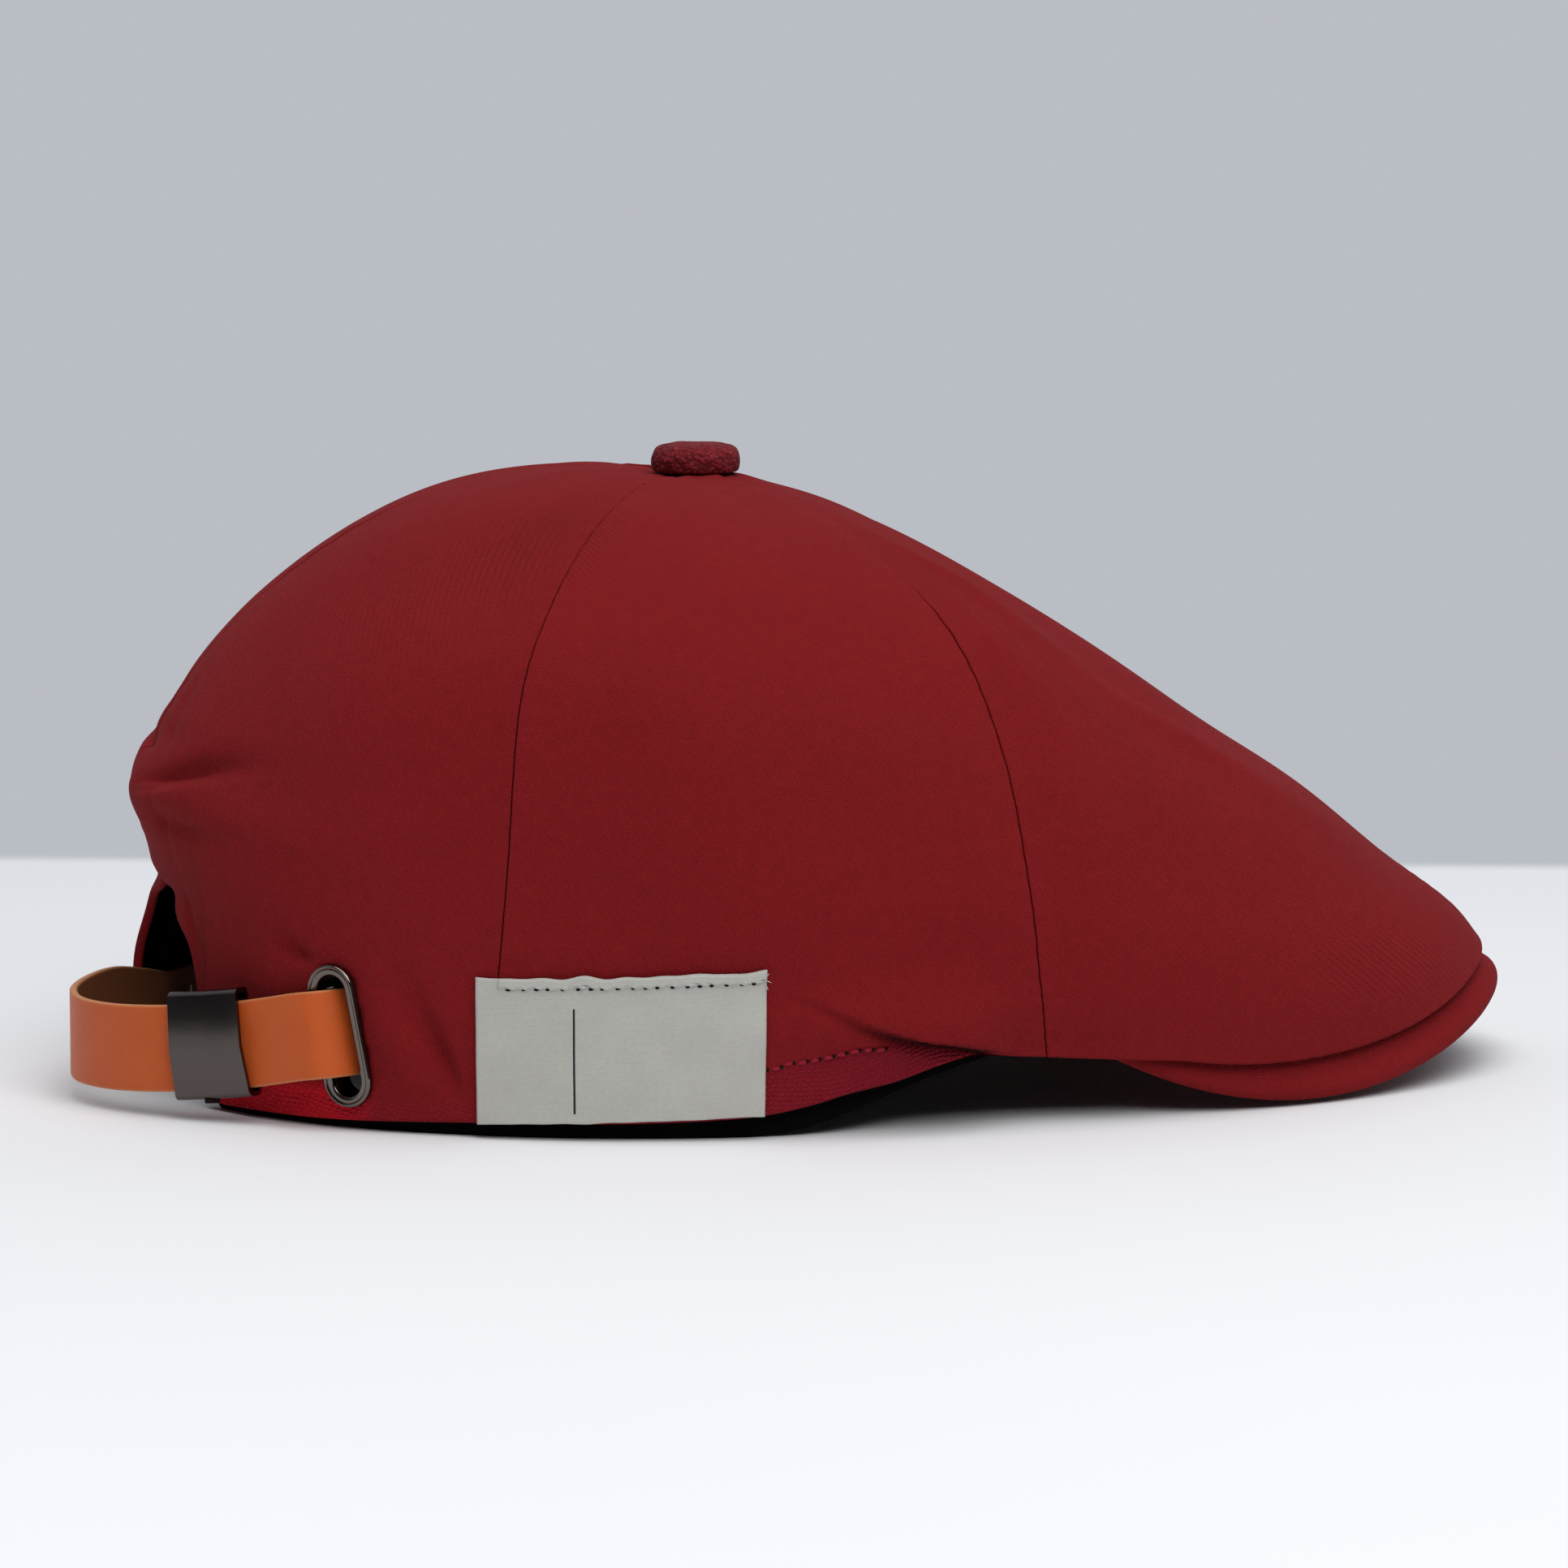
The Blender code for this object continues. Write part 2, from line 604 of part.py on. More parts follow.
def button(cloth):
    """The covered button and its shank."""
    radii = (BUTTON_RADIUS * column(BUTTON_ROWS, BUTTON_COLUMNS, "dome")
             + SHANK_RADIUS * column(BUTTON_ROWS, BUTTON_COLUMNS, "shank"))
    heights = (CROWN_HEIGHT + GAP + BUTTON_HEIGHT * column(BUTTON_ROWS, BUTTON_COLUMNS, "height")
               - SHANK_LENGTH * column(BUTTON_ROWS, BUTTON_COLUMNS, "depth"))
    bm = bmesh.new()
    verts = [bm.verts.new((HEAD_X + r, 0.0, z)) for r, z in zip(radii, heights)]
    edges = [bm.edges.new(pair) for pair in zip(verts, verts[1:])]
    bmesh.ops.spin(bm, geom=verts + edges, cent=(HEAD_X, 0.0, 0.0), axis=(0, 0, 1), dvec=(0, 0, 0),
                   angle=2 * math.pi, steps=BUTTON_SIDES, use_merge=True, use_duplicate=False)
    return finish("button", cloth, bm)


def label(cloth):
    """The label sewn over the seam on the wearer's right."""
    def place(u, v, w):
        bearing = LABEL_START + (LABEL_END - LABEL_START) * u
        theta, t = on_crown(bearing, LABEL_LOW + LABEL_HEIGHT * v + LABEL_TILT * (0.5 - u))
        return crown_face(theta, t) + (GAP + w * LABEL_CLOTH)[:, None] * crown_normal(theta, t)
    return slab("label", cloth, LABEL_FACETS, place)


def strap_way(distance, across=0.0, up=0.0):
    """Points along the strap, at distances from its right end, across its leather and up its width."""
    bearing = column(STRAP_ROWS, STRAP_COLUMNS, "bearing")
    out = STRAP_REACH * column(STRAP_ROWS, STRAP_COLUMNS, "out")
    height = STRAP_HEIGHT * column(STRAP_ROWS, STRAP_COLUMNS, "height")
    rows = at_bearing(bearing, head_radius(bearing, height + STRAP_WIDTH / 2) + out, height)
    along = np.append(0.0, np.cumsum(np.linalg.norm(np.diff(rows[:, :2], axis=0), axis=1)))

    def middle(distance):
        return np.stack([smooth_way(along, rows[:, axis], distance) for axis in range(3)], axis=-1)

    near = 0.0002
    ahead = unit(middle(distance + near) - middle(distance - near))
    lean = np.radians(EYELET_LEAN * smooth_way(along, column(STRAP_ROWS, STRAP_COLUMNS, "lean"), distance))
    a = math.radians(EYELET_BEARING)
    back = np.array([-math.sin(a), -math.cos(a), 0.0])
    top = np.cos(lean)[:, None] * (0, 0, 1) + np.sin(lean)[:, None] * back
    outwards = unit(np.cross(top, ahead))
    top = np.cross(ahead, outwards)
    return middle(distance) + (across * outwards.T + up * top.T).T


def smooth_way(xs, ys, x):
    """A smooth curve through the points (xs, ys), carried on straight beyond its ends."""
    first, last = xs[0] - (xs[1] - xs[0]), xs[-1] + (xs[-1] - xs[-2])
    xs = np.concatenate([[first], xs, [last]])
    ys = np.concatenate([[2 * ys[0] - ys[1]], ys, [2 * ys[-1] - ys[-2]]])
    return smooth(xs, ys, x)


def strap_length(bearing):
    """Distance along the strap from its right end to a bearing."""
    def before(distance):
        p = strap_way(distance)
        return np.degrees(np.arctan2(-p[:, 1], p[:, 0] - HEAD_X)) % 360.0 < bearing
    return float(halve(np.array([0.0]), np.array([2 * HEAD_HALF_LENGTH]), before)[0])


def strap(leather):
    """The strap, from the eyelet round the back opening to the left end of the sweatband."""
    end = strap_length(STRAP_ROWS[-1][0] - 0.05)

    def place(u, v, w):
        return strap_way(end * u, (w - 0.5) * STRAP_LEATHER, (v - 0.5) * STRAP_WIDTH)
    return slab("strap", leather, STRAP_FACETS, place)


def slider(metal):
    """The flat tube round the strap."""
    middle = strap_length(SLIDER_BEARING)
    corners = 2 * SLIDER_STATIONS

    def place(u, v, w):
        corner = np.round(v * corners).astype(int) % corners
        outer = corner >= SLIDER_STATIONS
        station = np.where(outer, corners - 1 - corner, corner)
        distance = middle + (station / (SLIDER_STATIONS - 1) - 0.5) * SLIDER_LENGTH
        across, up = rounded(u, STRAP_LEATHER / 2 + GAP, STRAP_WIDTH / 2 + SLIDER_PLAY, GAP,
                             outer * SLIDER_METAL)
        return strap_way(distance, across, up)
    return loop("slider", metal, (SLIDER_COLUMNS, corners), place)


def eyelet_place(across, up, out):
    """Points in the eyelet's own directions: back, up and out of the crown's face."""
    theta, t = on_crown(np.array([EYELET_BEARING]), np.array([EYELET_HEIGHT]))
    middle, outwards = crown_face(theta, t)[0], crown_normal(theta, t)[0]
    lean = math.radians(EYELET_LEAN)
    back = unit(np.cross(outwards, (0, 0, 1)))
    top = np.cross(back, outwards)
    long = math.cos(lean) * top + math.sin(lean) * back
    wide = math.cos(lean) * back - math.sin(lean) * top
    return middle + np.outer(across, wide) + np.outer(up, long) + np.outer(out, outwards)


def eyelet(metal):
    """The oval eyelet: a flange on the crown and a tube through the cloth."""
    rim = EYELET_RIM * column(EYELET_ROWS, EYELET_COLUMNS, "rim")
    tube = EYELET_TUBE * column(EYELET_ROWS, EYELET_COLUMNS, "tube")
    crest = EYELET_CREST * column(EYELET_ROWS, EYELET_COLUMNS, "crest")
    depth = column(EYELET_ROWS, EYELET_COLUMNS, "depth")
    grow, out = rim + tube, np.where(depth > 0, -EYELET_DEPTH, FLANGE_LIFT + crest)

    def place(u, v, w):
        corner = np.round(v * len(EYELET_ROWS)).astype(int) % len(EYELET_ROWS)
        half = EYELET_WIDE / 2 - EYELET_RIM
        across, up = rounded(u, half, EYELET_LONG / 2 - EYELET_RIM, half, grow[corner])
        return eyelet_place(across, up, out[corner])
    return loop("eyelet", metal, (EYELET_SIDES, len(EYELET_ROWS)), place)


def eyelet_hole(metal):
    """The hole that the eyelet's tube goes through."""
    def place(u, v, w):
        half = EYELET_WIDE / 2 - EYELET_RIM
        across, up = rounded(u, half, EYELET_LONG / 2 - EYELET_RIM, half, EYELET_TUBE + GAP)
        middle = (v > 0.25) & (v < 0.75)
        inward = np.where(middle, 1.0, 0.0)
        deep = np.where(v > 0.5, -3 * EYELET_DEPTH, EYELET_DEPTH)
        return eyelet_place(across * inward, up * inward, deep)
    return loop("eyelet_hole", metal, (EYELET_SIDES, 3), place)


def build():
    """Make every piece."""
    twill, metal = burgundy_twill(), gunmetal()
    crown_panel("front_panel_right", twill, 0.0, 60.0, FRONT_COLUMNS)
    crown_panel("side_panel_right", twill, 60.0, 120.0, SIDE_COLUMNS)
    back_panel_right = crown_panel("back_panel_right", twill, 120.0, 180.0, BACK_COLUMNS)
    crown_panel("back_panel_left", twill, -180.0, -120.0, BACK_COLUMNS)
    crown_panel("side_panel_left", twill, -120.0, -60.0, SIDE_COLUMNS)
    crown_panel("front_panel_left", twill, -60.0, 0.0, FRONT_COLUMNS)
    band = sweatband(black_cloth())
    peak(twill)
    button(twill)
    label(grey_woven())
    strap(tan_leather())
    slider(metal)
    eyelet(metal)
    hole = eyelet_hole(metal)
    cut(back_panel_right, hole)
    cut(band, hole)


for old in list(bpy.data.objects):
    bpy.data.objects.remove(old)
build()
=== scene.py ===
"""Looks of the flat cap: cloth, seams, stitches, label, leather and metal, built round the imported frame.

Metres, +Z up. +X is forward, towards the tip of the peak. Bearings are in degrees round the button, seen
from above: 0 is forward, 90 is the wearer's right (-Y), -90 the wearer's left (+Y) and 180 straight back.
"""

import bmesh
import bpy
import math
import numpy as np
from mathutils import Matrix, Vector

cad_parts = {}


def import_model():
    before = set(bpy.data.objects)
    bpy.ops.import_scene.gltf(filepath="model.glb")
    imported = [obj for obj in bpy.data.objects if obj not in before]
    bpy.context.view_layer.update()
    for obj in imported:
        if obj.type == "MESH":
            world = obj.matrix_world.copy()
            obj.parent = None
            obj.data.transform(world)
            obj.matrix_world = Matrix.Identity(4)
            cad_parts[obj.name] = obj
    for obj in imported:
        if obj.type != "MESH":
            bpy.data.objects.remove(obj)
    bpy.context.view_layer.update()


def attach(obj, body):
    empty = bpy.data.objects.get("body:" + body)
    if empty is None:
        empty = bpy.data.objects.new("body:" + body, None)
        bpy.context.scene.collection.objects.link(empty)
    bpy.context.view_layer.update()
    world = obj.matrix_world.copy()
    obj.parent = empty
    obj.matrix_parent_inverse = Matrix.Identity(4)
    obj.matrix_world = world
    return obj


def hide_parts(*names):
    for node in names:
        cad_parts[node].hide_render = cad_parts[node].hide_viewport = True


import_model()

# Clearances
GAP = 0.0003                     # between two pieces that touch
SEAM_GAP = 0.0003                # between neighbouring crown panels
RIM_ROLL = 0.49                  # radius of a round rim as a share of the cloth, so that no faces meet

# Head and crown, as the frame has them
HEAD_X = -0.0195
HEAD_HALF_LENGTH = 0.1070
HEAD_HALF_WIDTH = 0.0820
CROWN_HEIGHT = 0.1210
CROWN_CLOTH = 0.0018
CORNER_PUSH = 0.0095
CORNER_BEARING = -160.0
CORNER_SPREAD = 20.0
CORNER_FADE = 0.0620

# Sweatband and the crown's lower edge
BAND_GAP = 0.0007
SWEATBAND_CLOTH = 0.0013
SWEATBAND_HEIGHT = 0.0340
SWEATBAND_FRONT = 0.40
SWEATBAND_DROP = 0.0030
SWEATBAND_LEAN = 0.0018
TEMPLE_RISE = 0.0138
OVERHANG = 0.0045

# Peak
PEAK_CENTRE_X = 0.0385
PEAK_TIP_X = 0.1447
PEAK_HALF_WIDTH = 0.0715
PEAK_TIP_HEIGHT = 0.0156
PEAK_SLOPE = 0.640
PEAK_CURL = 0.0656
PEAK_CLOTH = 0.0035
PEAK_CORNER = 50.0
PEAK_GAP = 0.0005
PEAK_LIP = 0.0050
LIP_START = 45.0
LIP_FULL = 20.0
CORNER_HANG = 0.0068
CORNER_HANG_START = 42.0

# Back opening
OPENING_HALF_WIDTH = 0.0290
OPENING_HEIGHT = 0.0410
OPENING_ROUNDNESS = 2.4

# Button
BUTTON_RADIUS = 0.0090
BUTTON_HEIGHT = 0.0061
BUTTON_SEAT = 0.0128
BUTTON_HOLE = 0.0040

# Label
LABEL_START = 90.5
LABEL_END = 126.6
LABEL_LOW = 0.0038
LABEL_HEIGHT = 0.0283
LABEL_TILT = 0.0019
LABEL_CLOTH = 0.0010

# Strap, slider and eyelet
STRAP_WIDTH = 0.0170
STRAP_LEATHER = 0.0016
STRAP_REACH = 0.0200
STRAP_HEIGHT = 0.0124
SLIDER_LENGTH = 0.0157
SLIDER_METAL = 0.0009
SLIDER_PLAY = 0.0007
SLIDER_BEARING = 156.3
SLIDER_BULGE = 0.0013
SLIDER_ROOM = 0.0010             # spare room over the strap
EYELET_BEARING = 142.8
EYELET_HEIGHT = 0.0186
EYELET_LEAN = 10.5
EYELET_LONG = 0.0282
EYELET_WIDE = 0.0109
EYELET_RIM = 0.0022
EYELET_CREST = 0.0011
EYELET_TUBE = 0.0006
EYELET_DEPTH = 0.0046
FLANGE_LIFT = 0.0005

# Crown panels, in order round the button from the front, and their cloth's detail
PANELS = ("front_panel_right", "side_panel_right", "back_panel_right",
          "back_panel_left", "side_panel_left", "front_panel_left")
PANEL_TURN = 60.0
SEAM_ROLL = 0.0005               # radius of the fold at each seam
HEM_ROLL = 0.00088               # radius of the crown's folded lower edge, under half its cloth
ALLOWANCE = 0.0092               # width of the seam allowance that shows through the cloth
ALLOWANCE_STEP = 0.00028
ALLOWANCE_SOFT = (0.0012, 0.0004)  # how far its edge fades inwards and outwards
ALLOWANCE_WEAK = (0.25, 0.60)    # share of the way down over which it loses ALLOWANCE_LOSS of its height
ALLOWANCE_LOSS = 0.6
PUCKER = 0.00010                 # depth of the gathers that the seam thread pulls
PUCKER_LENGTH = 0.0048
PUCKER_REACH = 0.0025
PANEL_LENGTH = 0.1498            # of a panel from the button to its lower edge, for the gathers
PRESSED = (0.33, 0.43)           # share of the way down where the seams in front begin to open
UNEVEN = 0.00018                 # height of the cloth's own soft waves
UNEVEN_LENGTH = 0.045
UNEVEN_SCALE = (0.0016, 0.15)    # cloth of one degree at the button and of the whole way down
EVEN_OUT = 0.72                  # how much closer the columns stand at the seams
MIDDLE_ROW = 0.60                # share of the way down that the upper half of the rows covers
ROW_BIAS = 1.6                   # how much closer the rows stand at the lower edge
PANEL_FACETS = (120, 190)
TURNED_IN = 0.935                # share of a panel's rows where its cloth is folded in
SHARP = 50.0                     # angle in degrees from which an edge is drawn sharp
OPENING_WAVE = 0.0045            # unevenness of the back opening's edge, as a share of the panel's length
OPENING_WAVE_LENGTH = 7.0        # in degrees
OPENING_CUT = (0.995, 0.97)      # share of the way down between which a column meets the opening
HOLE_PLAY = 0.0002               # the cut in the cloth stands off the eyelet's tube
HOLE_NEAR = 0.03                 # and is made no further away than this from the eyelet

# Hem strip and its stitches, which run from STITCH_FIRST to STITCH_LAST
STITCH_FIRST = 75.0
STITCH_LAST = 92.0
STITCH_LENGTH = 0.0017
STITCH_PITCH = 0.0025
STITCH_THICK = 0.00046
STITCH_WANDER = 0.00028
STITCH_LIFT = 0.00012            # their middle over the cloth
STRIP_SOFT = 0.0007              # over which the strip's coarse weave begins
SMOOTH_START = (104.0, 110.0)    # bearings between which the strip is pressed smooth
SMOOTH_END = (136.0, 142.0)
SMOOTHED = 0.7
GLOW_START = (138.0, 144.0)    # bearings and heights where the brighter red, painted as light thrown by the tan strap, begins and ends
GLOW_TOP = (0.0065, 0.0105)

# Fold over the hem strip at the temple
FOLD_HANG = 1.10                 # how far it hangs down, as a share of its depth
FOLD_REACH = 0.0090
SAG_REACH = 0.0060
LIP_SOFT = (-0.0008, 0.0006)     # heights round the lip between which the bulge begins
SAG_SOFT = (-0.0005, 0.0006)     # and those between which the cloth begins to hang
SLOT_BELOW = 0.0009              # middle of the slot below the hanging cloth
SLOT_SHARE = 0.7                 # depth of the slot as a share of the fold's, up to SLOT_DEPTH
SLOT_DEPTH = 0.0015
SLOT_REACH = 0.0012
SHADE_BELOW = 0.0006             # middle of the line painted dark as shade in the slot
SHADE_DEPTH = (0.0006, 0.0022)   # fold depths between which the painted shade in the slot sets in
SHADE_REACH = 0.0007

# Label detail
LABEL_HEM = 0.0020               # width of the folded top edge
LABEL_HEM_START = 0.925          # share of the label's length where that fold ends
LABEL_HEM_STEP = 0.00070
LABEL_WAVE = 0.00022             # unevenness of its cut edges
LABEL_RIPPLE = 0.00010           # unevenness of its face
LABEL_ROUND = 0.0004             # radius of its edges
LABEL_BACK = 0.00025             # its lower face stands this much over GAP
LABEL_LENGTH = 0.0556            # along the crown, between LABEL_START and LABEL_END
LABEL_LINE = 0.668               # share of its length where the dividing line is woven
LABEL_LINE_LOW = 0.08
LABEL_LINE_HIGH = 0.80
LABEL_LINE_WIDE = 0.00045
LABEL_STITCH = 0.0026            # from one stitch to the next
LABEL_THREAD = 0.00030           # half the thickness of its stitches
LABEL_SHADE = 0.00026
LABEL_FRAY = 0.00009
LABEL_SEWN = (-0.0003, -0.00005)  # place of the stitches below the fold's edge and over the label
LABEL_SHADED = (0.0002, 0.00005)  # and of the dark marks painted as shade between them
LABEL_STITCH_SHARE = 0.72        # length of a stitch as a share of LABEL_STITCH
LABEL_SHADE_PLACE = 0.60          # start and length of each dark mark painted as shade, as the same share
LABEL_SHADE_SHARE = 0.34
FRAY_COUNT = 9
FRAY_START = (0.004, 0.965)      # shares of the label's length and height near its front top corner
FRAY_SPREAD = (0.02, 0.09)
FRAY_RUN = 0.010                 # how far a loose thread runs forward, as a share of the label's length
FRAY_SLANT = 0.03

# Strap, slider and button detail
STRAP_ROUND = 0.00045            # radius of the leather's edges
BURNISHED = (0.0001, 0.0009)     # distances from the edge where the paler colour fades
PRONG_RADIUS = 0.0004
PRONG_LENGTH = 0.0022
PRONG_PLACE = 0.20               # as a share of SLIDER_LENGTH behind its middle
TAB_SIZE = (0.0030, 0.0012, 0.0013)
TAB_PLACE = 0.06
TAB_DROP = 0.0011
TAB_ROUND = 0.0003
CATCH_OUT = 0.0006               # both stand outside the strap's middle
BUTTON_UNEVEN = 0.00016
BUTTON_UNEVEN_LENGTH = 0.0045
SWEATBAND_FACETS = (420, 40)
PEAK_FACETS = (200, 90)
LABEL_FACETS = (180, 90)
STRAP_FACETS = (420, 26)

# Weaves, in millimetres and degrees. BANDS is the scale of a wave texture whose bands are 1 apart.
WALE = 0.62
WALE_TURN = 28.0
CORD = 1.35
CORD_TURN = -38.0
BANDS = 0.314

# Stage: the table ends where Y + TABLE_TURN * X is TABLE_END. The wall is dimmer on the camera's side.
WALL = "#babec4"
DIM_WALL = "#46474a"
DIMMING = (0.15, -0.25)          # direction along Y, as a share, between which the wall turns dim
LIGHT_AIM = (0.0, 0.0, 0.05)
LIGHTS = (                       # name, place, size and watts
    ("key", (0.10, -0.45, 1.7), (1.5, 1.5), 18.7),
    ("front", (0.25, -1.6, 1.5), (1.6, 0.9), 16.5),
)
TABLE_END = 0.331
TABLE_TURN = 0.217
TABLE_FADE = 0.020
TABLE_HALF = 5.0
CAMERA_AIM = (-0.0015, 0.0, 0.058)
CAMERA_TURN = -10.0
CAMERA_TILT = 7.0
CAMERA_DISTANCE = 1.5
SENSOR = 36.0
PIXELS = 1932
PIXELS_PER_METRE = 6100.0


def by_name(names, *rows):
    """A table's columns by their names."""
    return dict(zip(names, np.array(rows).T))


# Eyelet's flange and tube. A row for each corner: distance from the inner face as a share of EYELET_RIM,
# the tube's wall, height over the cloth as a share of EYELET_CREST, and the tube's depth.
EYELET_TABLE = by_name(
    ("rim", "tube", "crest", "depth"),
    (0.00, 0.0, 0.00, 1.0),
    (0.00, 0.0, 0.44, 0.0),
    (0.05, 0.0, 0.60, 0.0),
    (0.14, 0.0, 0.68, 0.0),
    (0.32, 0.0, 0.75, 0.0),
    (0.48, 0.0, 0.78, 0.0),
    (0.54, 0.0, 0.74, 0.0),
    (0.60, 0.0, 0.82, 0.0),
    (0.68, 0.0, 0.95, 0.0),
    (0.77, 0.0, 1.00, 0.0),
    (0.86, 0.0, 0.92, 0.0),
    (0.94, 0.0, 0.66, 0.0),
    (0.99, 0.0, 0.30, 0.0),
    (1.00, 0.0, 0.00, 0.0),
    (0.00, 1.0, 0.00, 0.0),
    (0.00, 1.0, 0.00, 1.0)
)

# Way of the strap, seen from above: distance from the sweatband's outer face as a share of STRAP_REACH,
# height of its middle as a share of STRAP_HEIGHT, lean as a share of EYELET_LEAN.
STRAP_TABLE = by_name(
    ("bearing", "out", "height", "lean"),
    (125.3, -0.190, 1.56, 0.50),
    (134.0, -0.195, 1.56, 0.80),
    (138.5, -0.210, 1.56, 1.00),
    (141.0, -0.188, 1.55, 1.00),
    (142.1, -0.100, 1.55, 1.00),
    (142.7, 0.050, 1.54, 1.00),
    (143.4, 0.255, 1.53, 1.00),
    (144.5, 0.375, 1.51, 1.00),
    (146.3, 0.390, 1.47, 0.95),
    (149.8, 0.375, 1.36, 0.75),
    (153.4, 0.405, 1.25, 0.45),
    (157.0, 0.550, 1.17, 0.20),
    (161.5, 0.785, 1.09, 0.05),
    (166.6, 0.940, 1.03, 0.00),
    (172.0, 0.990, 1.01, 0.00),
    (177.0, 0.880, 1.04, 0.00),
    (181.8, 0.630, 1.09, 0.00),
    (186.7, 0.330, 1.10, 0.00),
    (190.8, 0.055, 0.98, 0.00),
    (194.6, -0.170, 0.84, 0.00),
    (200.0, -0.205, 0.82, 0.00),
    (206.0, -0.205, 0.82, 0.00)
)

# Button's dome: radius as a share of BUTTON_RADIUS, height as a share of BUTTON_HEIGHT.
BUTTON_TABLE = by_name(
    ("radius", "height"),
    (0.30, 0.02),
    (0.88, 0.02),
    (0.95, 0.07),
    (0.985, 0.20),
    (1.00, 0.38),
    (0.99, 0.56),
    (0.95, 0.73),
    (0.87, 0.86),
    (0.74, 0.94),
    (0.52, 0.99),
    (0.26, 1.00),
    (0.00, 1.00)
)

# Crown sections: outN is a share of the radius of the crown's edge below, upN a share of CROWN_HEIGHT.
SECTION_STEP = 30.0
SECTION_TABLE = by_name(
    ("out1", "up1", "out2", "up2", "out3", "up3", "out4", "up4", "out5", "up5", "out6", "up6", "lean"),
    (0.185, 0.936, 0.370, 0.800, 0.555, 0.642, 0.740, 0.488, 0.875, 0.346, 0.962, 0.260, 0.0),
    (0.228, 0.952, 0.455, 0.838, 0.672, 0.688, 0.850, 0.504, 0.950, 0.315, 0.992, 0.180, -3.0),
    (0.296, 0.976, 0.568, 0.904, 0.802, 0.778, 0.940, 0.598, 1.000, 0.376, 1.006, 0.220, -6.0),
    (0.333, 0.988, 0.595, 0.936, 0.820, 0.838, 0.981, 0.687, 1.035, 0.458, 1.025, 0.240, -1.0),
    (0.312, 1.000, 0.579, 0.947, 0.813, 0.842, 0.952, 0.695, 0.985, 0.420, 0.998, 0.200, 6.0),
    (0.285, 1.014, 0.560, 0.960, 0.796, 0.824, 0.954, 0.654, 1.018, 0.458, 1.008, 0.250, 2.0),
    (0.275, 1.014, 0.550, 0.955, 0.797, 0.814, 0.962, 0.645, 1.036, 0.500, 0.988, 0.330, 0.0)
)
STATIONS = 7

# Lower edges behind the peak, as shares of TEMPLE_RISE and OVERHANG.
EDGE_TABLE = by_name(
    ("bearing", "crown", "sweatband", "flare"),
    (54.0, 0.950, 1.10, 1.00),
    (60.0, 1.010, 0.92, 0.65),
    (63.5, 1.020, 0.82, 0.42),
    (67.0, 0.930, 0.72, 0.26),
    (73.0, 0.720, 0.50, 0.10),
    (79.0, 0.590, 0.27, 0.03),
    (84.0, 0.450, 0.12, 0.00),
    (90.0, 0.330, 0.03, 0.00),
    (97.0, 0.270, 0.00, 0.00),
    (105.0, 0.240, 0.00, 0.00),
    (125.0, 0.210, 0.00, 0.00),
    (150.0, 0.110, 0.00, 0.00),
    (180.0, 0.090, 0.00, 0.00)
)

# Folds and dents: middle as bearing and share of CROWN_HEIGHT, reach in degrees and as a share of
# CROWN_HEIGHT, slant in degrees for each share of height, and depth as a share of CROWN_CLOTH.
FOLD_ROWS = (
    (177.0, 0.592, 9.0, 0.022, 0.0, -0.45),
    (174.0, 0.520, 8.0, 0.045, 0.0, 0.65),
    (160.0, 0.545, 12.0, 0.035, 0.0, -0.9),
    (158.0, 0.460, 11.0, 0.035, 0.0, 0.7),
    (129.0, 0.130, 4.0, 0.100, 0.0, -0.1),
    (135.5, 0.190, 4.5, 0.120, 0.0, 0.8),
    (76.0, 0.185, 13.0, 0.045, -40.0, 1.3),
    (-168.0, 0.640, 10.0, 0.045, 0.0, -0.9),
    (-178.0, 0.334, 13.0, 0.020, 0.0, -1.0),
    (-165.0, 0.200, 9.0, 0.085, 0.0, 1.0),
    (-150.0, 0.500, 14.0, 0.050, 0.0, 0.7),
    (-130.0, 0.200, 6.0, 0.120, 0.0, 0.7),
    (-78.0, 0.190, 14.0, 0.050, 40.0, 1.2),
)

